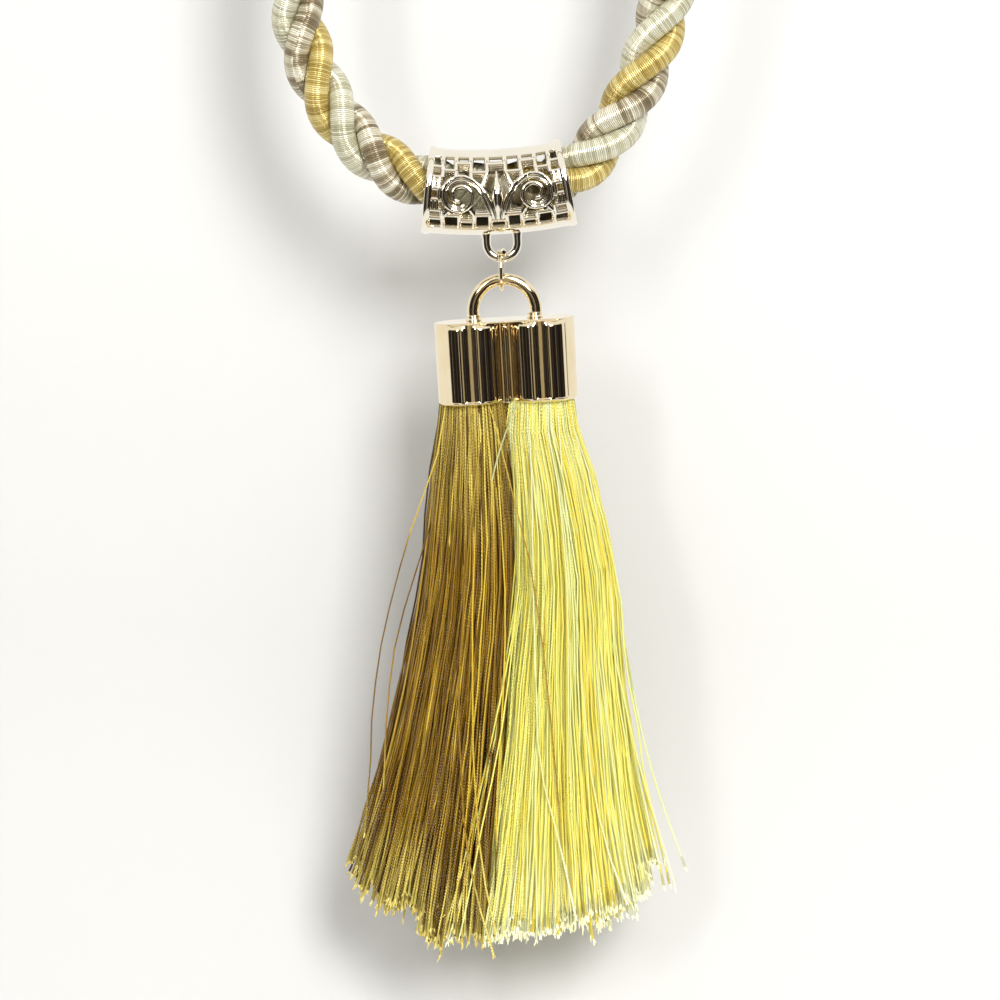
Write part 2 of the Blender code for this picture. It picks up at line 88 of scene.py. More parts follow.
def smooth_route(points, spacing):
    """Evenly spaced points on a Catmull-Rom curve through the given points."""
    steps = 24
    ends = [2 * points[0] - points[1], *points, 2 * points[-1] - points[-2]]
    fine = []
    for before, start, end, after in zip(ends, ends[1:], ends[2:], ends[3:]):
        for step in range(steps):
            t = step / steps
            fine.append(0.5 * (2 * start + (end - before) * t
                               + (2 * before - 5 * start + 4 * end - after) * t ** 2
                               + (3 * start - before - 3 * end + after) * t ** 3))
    fine.append(points[-1].copy())
    lengths = [0.0]
    for start, end in zip(fine, fine[1:]):
        lengths.append(lengths[-1] + (end - start).length)
    count = max(2, round(lengths[-1] / spacing))
    even = []
    index = 0
    for step in range(count + 1):
        target = lengths[-1] * step / count
        while index < len(fine) - 2 and lengths[index + 1] < target:
            index += 1
        share = (target - lengths[index]) / (lengths[index + 1] - lengths[index])
        even.append(fine[index].lerp(fine[index + 1], min(1.0, share)))
    return even


def helix_round(route, radius, lay, phase, closed=False):
    """Points of one strand that winds right-handedly round a route."""
    points = []
    travelled = 0.0
    for i, centre in enumerate(route):
        if closed:
            before, after = route[i - 1], route[(i + 1) % len(route)]
        else:
            before, after = route[max(i - 1, 0)], route[min(i + 1, len(route) - 1)]
        along = (after - before).normalized()
        sideways = Vector((0.0, 1.0, 0.0))
        outward = sideways.cross(along)
        if i:
            travelled += (centre - route[i - 1]).length
        turn = phase - 2 * pi * travelled / lay
        points.append(centre + radius * (cos(turn) * outward - sin(turn) * sideways))
    return points


def tubes(name, lines, radius, half_sides, closed=False):
    """Round tubes along lines of points, as one mesh, with 2 * half_sides faces round each.  The
    UV map's u runs along a tube from 0 to 1, and v round it.  A line may come with a list of
    radius factors, one for each of its points."""
    curve = bpy.data.curves.new(name, "CURVE")
    curve.dimensions = "3D"
    curve.bevel_depth = radius
    curve.bevel_resolution = half_sides - 2
    curve.use_fill_caps = not closed
    for line in lines:
        points, factors = line if isinstance(line, tuple) else (line, None)
        spline = curve.splines.new("POLY")
        spline.points.add(len(points) - 1)
        spline.points.foreach_set("co", [c for p in points for c in (p[0], p[1], p[2], 1.0)])
        if factors is not None:
            spline.points.foreach_set("radius", list(factors))
        spline.use_cyclic_u = closed
        spline.use_smooth = True
    bent = bpy.data.objects.new(name, curve)
    bpy.context.scene.collection.objects.link(bent)
    bpy.context.view_layer.update()
    depsgraph = bpy.context.evaluated_depsgraph_get()
    mesh = bpy.data.meshes.new_from_object(bent.evaluated_get(depsgraph))
    bpy.data.objects.remove(bent, do_unlink=True)
    bpy.data.curves.remove(curve)
    mesh.name = name
    piece = bpy.data.objects.new(name, mesh)
    bpy.context.scene.collection.objects.link(piece)
    mesh.polygons.foreach_set("use_smooth", [True] * len(mesh.polygons))
    return piece


def add_node(mat, kind, inputs=(), output=0, **settings):
    """Add a shader node, set or link its inputs by order or by name, and return an output."""
    node = mat.node_tree.nodes.new("ShaderNode" + kind)
    for setting, value in settings.items():
        setattr(node, setting, value)
    pairs = inputs.items() if isinstance(inputs, dict) else enumerate(inputs)
    for key, value in pairs:
        if isinstance(value, bpy.types.NodeSocket):
            mat.node_tree.links.new(value, node.inputs[key])
        elif value is not None:
            node.inputs[key].default_value = value
    return node.outputs[output]


def maths(mat, operation, *values):
    """A Math node."""
    return add_node(mat, "Math", values, operation=operation)


def colour_ramp(mat, factor, stops):
    """A colour ramp through (position, colour) stops."""
    colours = add_node(mat, "ValToRGB", [factor])
    ramp = colours.node.color_ramp
    while len(ramp.elements) < len(stops):
        ramp.elements.new(0.5)
    for element, (position, colour) in zip(ramp.elements, stops):
        element.position = position
        element.color = (*colour, 1.0)
    return colours


def map_range(mat, value, from_low, from_high, to_low=0.0, to_high=1.0, **settings):
    """A Map Range node."""
    return add_node(mat, "MapRange", {
        "Value": value, "From Min": from_low, "From Max": from_high, "To Min": to_low,
        "To Max": to_high}, **settings)


def noise(mat, vector, scale, detail, roughness=0.5):
    """A Noise Texture node."""
    return add_node(mat, "TexNoise", {
        "Vector": vector, "Scale": scale, "Detail": detail, "Roughness": roughness})


def new_material(name):
    """A material with only its Principled shader."""
    mat = bpy.data.materials.new(name)
    mat.use_nodes = True
    return mat


def shader_of(mat):
    """The material's Principled shader."""
    return mat.node_tree.nodes["Principled BSDF"]


def link(mat, socket, name):
    """Connect a socket to one of the shader's inputs."""
    mat.node_tree.links.new(socket, shader_of(mat).inputs[name])


def set_inputs(mat, **values):
    """Set the shader's inputs, named with _ for each space."""
    for name, value in values.items():
        shader_of(mat).inputs[name.replace("_", " ")].default_value = value


def bump(mat, strength, distance, height):
    """Bend the shader's normal by a height socket."""
    link(mat, add_node(mat, "Bump", {
        "Strength": strength, "Distance": distance, "Height": height}), "Normal")


def wound_thread(name, stops, windings, mottling, roughness, mottle_threads=24):
    """Satin thread wound side by side round a core: the shade wanders from thread to thread, and
    each thread stands up from its neighbours, with painted shade in the grooves between them."""
    mat = new_material(name)
    along = add_node(mat, "SeparateXYZ", [add_node(mat, "UVMap", uv_map="UVMap")])
    round_it = along.node.outputs[1]
    winding = maths(mat, "ADD", maths(mat, "MULTIPLY", along, windings), round_it)
    thread = maths(mat, "FLOOR", winding)
    ridge = maths(mat, "ABSOLUTE", maths(mat, "SINE", maths(mat, "MULTIPLY", winding, pi)))
    each = add_node(mat, "TexWhiteNoise", {"W": thread}, noise_dimensions="1D")
    mottles = noise(mat, add_node(mat, "CombineXYZ", [
        maths(mat, "DIVIDE", thread, mottle_threads),
        maths(mat, "MULTIPLY", round_it, 0.35), 0.0]), 1.0, 2.0, 0.6)
    mixed = maths(mat, "ADD", maths(mat, "MULTIPLY", mottles, mottling),
                  maths(mat, "MULTIPLY", each, 1 - mottling))
    # Painted shade: the base colour is darkened in the grooves between the threads
    link(mat, add_node(mat, "MixRGB", [
        1.0, colour_ramp(mat, mixed, stops), map_range(mat, ridge, 0.0, 0.7, 0.42, 1.0)],
        blend_type="MULTIPLY"), "Base Color")
    bump(mat, 0.8, 0.2 * MM, maths(
        mat, "ADD", maths(mat, "POWER", ridge, 0.6), maths(mat, "MULTIPLY", each, 0.5)))
    set_inputs(mat, Roughness=roughness, Metallic=0.4, Specular_IOR_Level=0.8, Anisotropic=0.6)
    link(mat, add_node(mat, "Tangent", direction_type="UV_MAP", uv_map="UVMap"), "Tangent")
    return mat


ply_route = smooth_route(ROPE_ROUTE, ROPE_LAY / PLY_STEPS_PER_TURN)
gold_at_start = pi / 2 + 2 * pi * GOLD_FRONT_AT / ROPE_LAY
ply_lines = [helix_round(ply_route, PLY_HELIX_RADIUS, ROPE_LAY,
                         gold_at_start + ply * 2 * pi / 3) for ply in range(3)]
rope = tubes("wound_rope", ply_lines, PLY_RADIUS, 12)
ply_length = sum((b - a).length for a, b in zip(ply_lines[0], ply_lines[0][1:]))
for thread_name, stops, mottling, mottle_threads in PLY_THREADS:
    rope.data.materials.append(wound_thread(
        thread_name, stops, round(ply_length / WINDING_PITCH), mottling, PLY_ROUGHNESS,
        mottle_threads))
verts_a_ply = len(rope.data.vertices) // 3
rope.data.polygons.foreach_set("material_index", [
    polygon.vertices[0] // verts_a_ply for polygon in rope.data.polygons])
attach(rope, "root")
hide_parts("rope")


# ----------------------------------------
# Whippings.  Each rope end is bound hard with the gold rayon thread, turn
# beside turn, over the cut plies and the foot of the end loop, and glued.
WHIPPING_RADIUS = 7.3 * MM
WHIPPING_LENGTH = 14 * MM
WHIPPING_TURNS = 20
STEPS_A_TURN = 4  # of the whipping's profile
THREAD_RISE = 0.14 * MM
WHIPPING_SHOULDER = 1.6 * MM
END_DIRECTION = Vector((0.235, 0.0, 0.972)).normalized()
END_GAP = 0.3 * MM


def mirrored(vector, side):
    """A vector for the left (-1) or the right (1) rope end, given the left one."""
    return Vector((-side * vector.x, vector.y, vector.z))


def spun(name, profile, steps, place):
    """A turned body: a profile of (radius, height) points spun round Z, then placed.  The
    attribute "height" keeps each point's height in the profile."""
    bm = bmesh.new()
    verts = [bm.verts.new((radius, 0.0, height)) for radius, height in profile]
    edges = [bm.edges.new(pair) for pair in zip(verts, verts[1:])]
    bmesh.ops.spin(bm, geom=verts + edges, cent=(0, 0, 0), axis=(0, 0, 1), dvec=(0, 0, 0),
                   angle=2 * pi, steps=steps, use_merge=True, use_duplicate=False)
    bmesh.ops.remove_doubles(bm, verts=bm.verts, dist=0.001 * MM)
    bmesh.ops.recalc_face_normals(bm, faces=bm.faces)
    height = bm.verts.layers.float.new("height")
    for vert in bm.verts:
        vert[height] = vert.co.z
    bmesh.ops.transform(bm, matrix=place, verts=bm.verts)
    return finished(name, bm)


def finished(name, bm):
    """Turn a bmesh into a smooth-shaded piece."""
    mesh = bpy.data.meshes.new(name)
    for face in bm.faces:
        face.smooth = True
    bm.to_mesh(mesh)
    bm.free()
    piece = bpy.data.objects.new(name, mesh)
    bpy.context.scene.collection.objects.link(piece)
    return piece


def object_place(mat):
    """The point's object coordinates."""
    return add_node(mat, "TexCoord", output=3)


def whipping_thread():
    """Gold thread in level turns, each with its own shade and with painted shade in the groove
    below it.
    """
    mat = new_material("whipping_thread")
    turn = maths(mat, "MULTIPLY", add_node(
        mat, "Attribute", output=2, attribute_name="height"), WHIPPING_TURNS / WHIPPING_LENGTH)
    each = add_node(mat, "TexWhiteNoise", {"W": maths(mat, "FLOOR", turn)}, noise_dimensions="1D")
    # Painted shade: each turn is darker towards the groove below it
    groove_shade = maths(mat, "ABSOLUTE", maths(mat, "SINE", maths(mat, "MULTIPLY", turn, pi)))
    shade = maths(mat, "ADD", maths(mat, "MULTIPLY", groove_shade, 0.6),
                  maths(mat, "MULTIPLY", each, 0.4))
    link(mat, colour_ramp(mat, shade, (
        (0.1, (0.24, 0.14, 0.03)), (0.5, (0.55, 0.36, 0.09)), (0.95, (0.74, 0.54, 0.18)))),
        "Base Color")
    bump(mat, 0.35, 0.05 * MM, noise(mat, object_place(mat), 4200.0, 2.0))
    set_inputs(mat, Roughness=0.38, Sheen_Weight=0.15)
    return mat


whipping_material = whipping_thread()
for side, side_name in ((-1, "left"), (1, "right")):
    profile = [(0.0, 0.0)]
    for step in range(WHIPPING_TURNS * STEPS_A_TURN + 1):
        height = WHIPPING_LENGTH * step / (WHIPPING_TURNS * STEPS_A_TURN)
        from_end = min(height, WHIPPING_LENGTH - height) / WHIPPING_SHOULDER
        shoulder = WHIPPING_SHOULDER * (1 - sqrt(max(0.0, 1 - (1 - min(1.0, from_end)) ** 2)))
        ridge = THREAD_RISE * abs(sin(pi * step / STEPS_A_TURN))
        profile.append((WHIPPING_RADIUS - THREAD_RISE - shoulder + ridge, height))
    profile.append((0.0, WHIPPING_LENGTH))
    along = mirrored(END_DIRECTION, side)
    foot = mirrored(ROPE_ROUTE[0], side) + along * END_GAP
    place = Matrix.Translation(foot) @ along.to_track_quat("Z", "Y").to_matrix().to_4x4()
    whipping = spun("whipping_wound_" + side_name, profile, 48, place)
    whipping.data.materials.append(whipping_material)
    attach(whipping, "root")
    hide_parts("whipping_" + side_name)


# ----------------------------------------
# End loops.  A thin two-ply satin cord is doubled into a loop at each rope
# end, sewn under the whipping; both loops hang on the wall hook, one behind
# the other.
LOOP_CORD_RADIUS = 1.6 * MM
LOOP_PLY_RADIUS = 0.86 * MM
LOOP_WIDTH = 17 * MM
LOOP_TAPER = 0.3  # how much narrower the loop is at the whipping
LOOP_PLANE_Y = 1.9 * MM  # the left loop hangs in front
LOOP_LAY = 7.5 * MM
LOOP_STEPS = 180
LOOP_WINDING_PITCH = 0.35 * MM
LOOP_SHADES = ((0.2, (0.62, 0.54, 0.30)), (0.5, (0.72, 0.64, 0.40)), (0.8, (0.82, 0.76, 0.52)))
LOOP_ROUGHNESS = 0.36


def loop_line(side):
    """The centre of an end loop's cord, as a closed line."""
    along = mirrored(END_DIRECTION, side)
    bottom = mirrored(ROPE_ROUTE[0], side) + along * (
        END_GAP + WHIPPING_LENGTH + END_GAP + LOOP_CORD_RADIUS)
    top = Vector((0.0, 0.0, LOOP_CORD_RADIUS))
    axis = (top - bottom).normalized()
    across = Vector((axis.z, 0.0, -axis.x))
    points = []
    for i in range(LOOP_STEPS):
        turn = 2 * pi * i / LOOP_STEPS
        point = bottom + axis * (top - bottom).length * (1 - cos(turn)) / 2
        point += across * LOOP_WIDTH / 2 * sin(turn) * (1 - LOOP_TAPER * cos(turn))
        point.y = side * LOOP_PLANE_Y
        points.append(point)
    return points


for side, side_name in ((-1, "left"), (1, "right")):
    line = loop_line(side)
    loop_length = sum((b - a).length for a, b in zip(line, line[1:] + line[:1]))
    lay = loop_length / round(loop_length / LOOP_LAY)
    strands = [helix_round(line, LOOP_CORD_RADIUS - LOOP_PLY_RADIUS, lay, phase, closed=True)
               for phase in (0.0, pi)]
    end_loop = tubes("end_loop_cord_" + side_name, strands, LOOP_PLY_RADIUS, 6, closed=True)
    end_loop.data.materials.append(wound_thread(
        "loop_satin_" + side_name, LOOP_SHADES, round(loop_length / LOOP_WINDING_PITCH), 0.6,
        LOOP_ROUGHNESS))
    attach(end_loop, "root")
    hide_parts("end_loop_" + side_name)

smooth_route(ROPE_ROUTE, 5 * MM)


# ----------------------------------------
# Bail.  A curved tube cast in zinc alloy and plated pale champagne gold, with
# smooth rims and bands, and an open fret of stepped bricks round two scrolls
# on its front and back.  The rope is threaded through it.
BAIL_CENTRE = Vector((-1.4 * MM, 0.0, -281.0 * MM))
BAIL_TILT = radians(3.0)
BAIL_ARC_RADIUS = 110 * MM
BAIL_HALF_ANGLE = radians(9.2)
BAIL_RADIUS = 10.6 * MM
BAIL_WALL = 1.0 * MM
BAIL_SIDES = 72
BAIL_RIM = 0.115  # rim width, as a share of half the length
RIM_STEPS = 5
OPEN_STEPS = 28  # along the open part, from rim to rim
RIM_DOME = 0.34 * MM
SHELL_SINK = 0.2 * MM  # how far the surface between the rims lies inside BAIL_RADIUS
FRET_TOP = radians(56.0)  # the open part reaches this far above and below the middle
BACK_BOTTOM = radians(14.0)  # behind, it reaches less far down
bail_place = Matrix.Translation(BAIL_CENTRE) @ Matrix.Rotation(-BAIL_TILT, 4, "Y")


def bail_point(share, angle, radius):
    """A point of the bail's tube: share runs along it from -1 to 1, angle up from the front."""
    turn = share * BAIL_HALF_ANGLE
    inward = Vector((-sin(turn), 0.0, cos(turn)))
    axis = Vector((0.0, 0.0, BAIL_ARC_RADIUS)) - inward * BAIL_ARC_RADIUS
    around = cos(angle) * Vector((0.0, -1.0, 0.0)) + sin(angle) * inward
    return bail_place @ (axis + radius * around)


def polished_plate(name, colour, roughness, tint):
    """Bright plating over a cast body: faint unevenness of the polish and slight colour drift."""
    mat = new_material(name)
    where = object_place(mat)
    drift = noise(mat, where, 160.0, 2.0)
    link(mat, colour_ramp(mat, drift, ((0.35, colour), (0.65, tint))), "Base Color")
    bump(mat, 0.25, 0.03 * MM, noise(mat, where, 420.0, 1.0))
    smudges = noise(mat, where, 90.0, 4.0)
    link(mat, map_range(mat, smudges, 0.35, 0.75, roughness, roughness + 0.07), "Roughness")
    set_inputs(mat, Metallic=1.0)
    return mat


champagne = polished_plate("champagne_plating", (0.95, 0.90, 0.79), 0.05, (0.93, 0.87, 0.74))
shares = sorted({round(side * (1 - BAIL_RIM * i / RIM_STEPS), 6)
                 for side in (-1, 1) for i in range(RIM_STEPS + 1)}
                | {round((1 - BAIL_RIM) * (2 * i / OPEN_STEPS - 1), 6)
                   for i in range(OPEN_STEPS + 1)})
bm = bmesh.new()
bmesh.ops.create_grid(bm, x_segments=len(shares) - 1, y_segments=BAIL_SIDES, size=1.0)
columns = sorted({round(vert.co.x, 5) for vert in bm.verts})
open_faces = []
for face in bm.faces:
    middle = face.calc_center_median()
    angle = pi * middle.y
    column = sum(1 for x in columns if x < middle.x) - 1
    share = (shares[column] + shares[column + 1]) / 2
    is_front = abs(angle) < FRET_TOP
    is_back = abs(angle) > pi - (FRET_TOP if angle > 0 else BACK_BOTTOM)
    if (is_front or is_back) and abs(share) < 1 - BAIL_RIM:
        open_faces.append(face)
for vert in bm.verts:
    share = shares[min(range(len(columns)), key=lambda c: abs(columns[c] - vert.co.x))]
    from_end = (1 - abs(share)) / BAIL_RIM
    dome = RIM_DOME * max(0.0, 1 - (2 * from_end - 1) ** 2) if from_end < 1 else 0.0
    vert.co = bail_point(share, pi * vert.co.y, BAIL_RADIUS - SHELL_SINK + dome)
bmesh.ops.delete(bm, geom=open_faces, context="FACES")
bmesh.ops.remove_doubles(bm, verts=bm.verts, dist=0.01 * MM)
bmesh.ops.recalc_face_normals(bm, faces=bm.faces)
bail_shell = finished("bail_shell", bm)
wall = bail_shell.modifiers.new("wall", "SOLIDIFY")
wall.thickness = BAIL_WALL
wall.offset = -1.0
soft_edges = bail_shell.modifiers.new("soft_edges", "BEVEL")
soft_edges.width = 0.28 * MM
soft_edges.segments = 3
soft_edges.limit_method = "ANGLE"
soft_edges.angle_limit = radians(50)
bail_shell.data.materials.append(champagne)
# The inner wall is plated dark and dull: partly the unpolished inside of the casting, and partly
# painted shade that darkens what shows through the fret
bail_shell.data.materials.append(polished_plate(
    "dull_shaded_inside", (0.26, 0.24, 0.18), 0.35, (0.18, 0.16, 0.12)))
wall.material_offset = 1
wall.material_offset_rim = 0
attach(bail_shell, "root")
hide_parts("bail")

# The fret: bars stepped like the courses of a brick wall, round two scrolls and a stem.  Its
# points are in mm along the bail and mm up.
FRET_WIRE = 0.63 * MM
FRET_SINK = 0.62 * MM  # how far the front wires' centres lie inside BAIL_RADIUS
FRET_LAYERS = (0.0, 0.8 * MM, 1.6 * MM)  # wires one behind the other, as deep walls
FRET_STEP = 0.8  # mm between the points of a wire
FRET_EDGE = 9.8  # mm up, where the open part ends
TOP_BARS = (-16.6, -13.6, -10.2, -6.4, -2.3, 2.3, 6.2, 10.0, 13.6, 16.6)
TOP_SILLS = (6.3, 5.4, 7.5, 5.0, 7.3, 5.0, 7.7, 5.2, 6.5)
BOTTOM_BARS = (-16.6, -12.8, -9.0, -5.6, -1.9, 1.9, 5.4, 8.8, 12.6, 16.6)
BOTTOM_SILLS = (-6.6, -5.6, -7.2, -5.4, -7.0, -5.4, -7.3, -5.8, -6.8)
SIDE_BARS = (13.4, 14.2, 13.9, 14.4, 13.2)
SIDE_LEVELS = (3.6, 0.9, -1.8, -4.3)
SIDE_REACH = (17.2, 13.4)
STUBS = (  # short bars on each side, from end to end
    ((15.5, 3.6), (15.5, 0.9)), ((15.3, -1.8), (15.3, -4.3)), ((2.3, 5.0), (3.7, 1.4)),
    ((6.3, 5.0), (6.3, 3.3)), ((10.1, 5.3), (10.1, 3.8)), ((9.0, -7.2), (9.0, -5.5)),
    ((5.5, -5.5), (6.4, -4.0)), ((12.6, -5.8), (11.6, -4.4)))
SCROLL_WIRE = 0.56 * MM
SCROLL_FOOT = ((1.0, -6.5), (1.5, -3.6), (2.6, -0.6), (4.1, 1.7), (6.2, 3.3))
SCROLL_CENTRE = (9.0, -0.8)
SCROLL_RADIUS = 4.9  # mm, and SCROLL_SHRINK less at the inner end
SCROLL_SHRINK = 3.7
SCROLL_ARCH = 100  # degrees, where the curl begins
SCROLL_SWEEP = 550  # degrees
SCROLL_STEPS = 40
LINING_SHIFT = 0.95  # mm from the scroll to the finer wire that lines its arch
LINING_POINTS = 22
LINING_FACTOR = 0.6
STEM_TOP = 5.6  # mm up
STEM_LENGTH = 12.2
STEM_SINK = 0.4 * MM
STEM_FACTORS = (0.45, 0.75, 1.2, 2.3, 2.6, 2.2, 1.6, 1.8)
half_length = BAIL_ARC_RADIUS * BAIL_HALF_ANGLE
fret_radius = BAIL_RADIUS - FRET_SINK


def fret_line(points, back=False, deeper=0.0):
    """A fret wire through (mm along, mm up) points, laid on the bail's front or back."""
    line = []
    for (s0, h0), (s1, h1) in zip(points, points[1:]):
        steps = max(1, round(hypot(s1 - s0, h1 - h0) / FRET_STEP))
        line += [(s0 + (s1 - s0) * i / steps, h0 + (h1 - h0) * i / steps) for i in range(steps)]
    line.append(points[-1])
    return [bail_point(s * MM / half_length, (pi if back else 0.0)
                       + (-1 if back else 1) * h * MM / fret_radius, fret_radius - deeper)
            for s, h in line]


def scroll_points(side):
    """One scroll: it rises beside the stem, arches outward and curls in on itself."""
    points = [(side * s, h) for s, h in SCROLL_FOOT]
    for i in range(SCROLL_STEPS + 1):
        turn = radians(SCROLL_ARCH - SCROLL_SWEEP * i / SCROLL_STEPS)
        radius = SCROLL_RADIUS - SCROLL_SHRINK * i / SCROLL_STEPS
        points.append((side * (SCROLL_CENTRE[0] + radius * cos(turn)),
                       SCROLL_CENTRE[1] + radius * sin(turn)))
    return points


def beside(points, shift):
    """The line of points, moved sideways by a number of mm."""
    moved = []
    for i, (s, h) in enumerate(points):
        (s0, h0), (s1, h1) = points[max(i - 1, 0)], points[min(i + 1, len(points) - 1)]
        length = hypot(s1 - s0, h1 - h0)
        moved.append((s - shift * (h1 - h0) / length, h + shift * (s1 - s0) / length))
    return moved


fret = []
for bars, sills, edge in ((TOP_BARS, TOP_SILLS, FRET_EDGE),
                          (BOTTOM_BARS, BOTTOM_SILLS, -FRET_EDGE)):
    for i, s in enumerate(bars):
        reach = [sills[j] for j in (i - 1, i) if 0 <= j < len(sills)]
        fret.append([(s, edge), (s, min(reach) if edge > 0 else max(reach))])
    fret += [[(bars[i], sill), (bars[i + 1], sill)] for i, sill in enumerate(sills)]
for side in (-1, 1):
    heights = [TOP_SILLS[0], *SIDE_LEVELS, BOTTOM_SILLS[0]]
    fret += [[(side * s, upper), (side * s, lower)]
             for s, upper, lower in zip(SIDE_BARS, heights, heights[1:])]
    fret += [[(side * s, level) for s in SIDE_REACH] for level in SIDE_LEVELS]
    fret += [[(side * s, h) for s, h in stub] for stub in STUBS]
fret_lines = [fret_line(line, back, deeper) for back in (False, True) for line in fret
              for deeper in FRET_LAYERS]
bail_fret = tubes("bail_fret", fret_lines, FRET_WIRE, 4)
bail_fret.data.materials.append(champagne)
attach(bail_fret, "root")

scrolls = []
for back in (False, True):
    for side in (-1, 1):
        for deeper in FRET_LAYERS:
            scrolls.append(fret_line(scroll_points(side), back, deeper))
        lining = beside(scroll_points(side), -side * LINING_SHIFT)[:LINING_POINTS]
        for deeper in FRET_LAYERS[:2]:
            wire = fret_line(lining, back, deeper)
            scrolls.append((wire, [LINING_FACTOR] * len(wire)))
for back in (False, True):
    parts = len(STEM_FACTORS) - 1
    stem = fret_line([(0.0, STEM_TOP - STEM_LENGTH * i / parts) for i in range(parts + 1)], back,
                     STEM_SINK)
    scrolls.append((stem, np.interp(np.linspace(0, parts, len(stem)), range(parts + 1),
                                    STEM_FACTORS)))
bail_scrolls = tubes("bail_scrolls", scrolls, SCROLL_WIRE, 6)
bail_scrolls.data.materials.append(champagne)
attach(bail_scrolls, "root")

# The half ring cast under the bail
BAIL_RING_X = 0.5 * MM
BAIL_RING_RADIUS = 3.8 * MM
BAIL_RING_WIRE = 1.05 * MM
BAIL_RING_LEG = 2.4 * MM
BAIL_RING_FLARE = 0.35  # how much thicker the wire is where it joins the bail
foot = -BAIL_RADIUS + BAIL_WALL / 2
ring_line = [Vector((BAIL_RING_X - BAIL_RING_RADIUS, 0.0, foot - BAIL_RING_LEG * i / 4))
             for i in range(4)]
for i in range(33):
    turn = pi * i / 32
    ring_line.append(Vector((BAIL_RING_X - BAIL_RING_RADIUS * cos(turn), 0.0,
                             foot - BAIL_RING_LEG - BAIL_RING_RADIUS * sin(turn))))
ring_line += [Vector((BAIL_RING_X + BAIL_RING_RADIUS, 0.0, foot - BAIL_RING_LEG * i / 4))
              for i in range(3, -1, -1)]
ring_line = [bail_place @ point for point in ring_line]
factors = [1.0 + BAIL_RING_FLARE * max(0.0, 1 - min(i, len(ring_line) - 1 - i) / 3) ** 2
           for i in range(len(ring_line))]
bail_ring = tubes("bail_ring", [(ring_line, factors)], BAIL_RING_WIRE, 9)
bail_ring.data.materials.append(champagne)
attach(bail_ring, "root")


# ----------------------------------------
# Jump ring.  An open ring of bright gold-plated wire, closed with pliers
# round the bail's ring and the cap's ring, so that its two cut ends pass
# each other a little.
JUMP_RING_CENTRE = Vector((-0.35 * MM, 0.0, -300.05 * MM))
JUMP_RING_RADIUS = 4.75 * MM
JUMP_RING_WIRE = 0.5 * MM
JUMP_RING_OFFSET = 0.55 * MM  # sideways, from the ring's middle to each cut end
JUMP_RING_OVERLAP = 0.02  # of a turn
JUMP_RING_CUT = radians(110)
gold_plate = polished_plate("gold_plating", (0.90, 0.78, 0.55), 0.05, (0.88, 0.74, 0.49))
ring_line = []
for i in range(61):
    lean = i / 30 - 1
    turn = JUMP_RING_CUT + 2 * pi * (i / 60 * (1 + JUMP_RING_OVERLAP) - JUMP_RING_OVERLAP / 2)
    ring_line.append(JUMP_RING_CENTRE + Vector((
        JUMP_RING_OFFSET * lean * abs(lean), JUMP_RING_RADIUS * cos(turn),
        JUMP_RING_RADIUS * sin(turn))))
jump_ring = tubes("jump_ring_wire", [ring_line], JUMP_RING_WIRE, 6)
jump_ring.data.materials.append(gold_plate)
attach(jump_ring, "root")
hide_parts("jump_ring")


# ----------------------------------------
# Cap ring.  A thick D-shaped ring with the same warm gold plating; each leg
# stands on the cap's top plate with a small flared foot, and is soldered there.
CAP_RING_RADIUS = 7.75 * MM
CAP_RING_WIRE = 1.5 * MM
CAP_RING_TOP = -300.95 * MM
CAP_RING_X = 0.35 * MM
CAP_RING_SWEEP = radians(104.0)
CAP_TOP_Z = -312.2 * MM  # the plate's top, at the cap's middle
CAP_CENTRE_X = 0.8 * MM
CAP_TILT = radians(3.25)
FOOT_PROFILE = (  # radius and height, in mm
    (0.0, -0.1), (1.95, -0.1), (1.98, 0.2), (1.88, 0.42), (1.72, 0.55), (1.66, 0.75),
    (1.68, 0.95), (1.76, 1.1), (1.70, 1.35), (1.45, 1.5), (0.0, 1.5))
centre = Vector((CAP_RING_X, 0.0, CAP_RING_TOP - CAP_RING_WIRE - CAP_RING_RADIUS))
ring_line = []
for i in range(61):
    turn = CAP_RING_SWEEP * (i / 30 - 1)
    ring_line.append(centre + CAP_RING_RADIUS * Vector((sin(turn), 0.0, cos(turn))))
cap_ring = tubes("cap_ring_bow", [ring_line], CAP_RING_WIRE, 12)
cap_ring.data.materials.append(gold_plate)
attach(cap_ring, "root")
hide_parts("cap_ring")

for leg, leg_name in ((-1, "left"), (1, "right")):  # the feet, square on the tilted plate
    foot_x = CAP_RING_X + leg * CAP_RING_RADIUS * sin(CAP_RING_SWEEP)
    foot_z = CAP_TOP_Z + (foot_x - CAP_CENTRE_X) * tan(CAP_TILT)
    place = Matrix.Translation((foot_x, 0.0, foot_z)) @ Matrix.Rotation(-CAP_TILT, 4, "Y")
    collar = spun("cap_ring_foot_" + leg_name, [(r * MM, h * MM) for r, h in FOOT_PROFILE], 40,
                  place)
    collar.data.materials.append(gold_plate)
    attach(collar, "root")


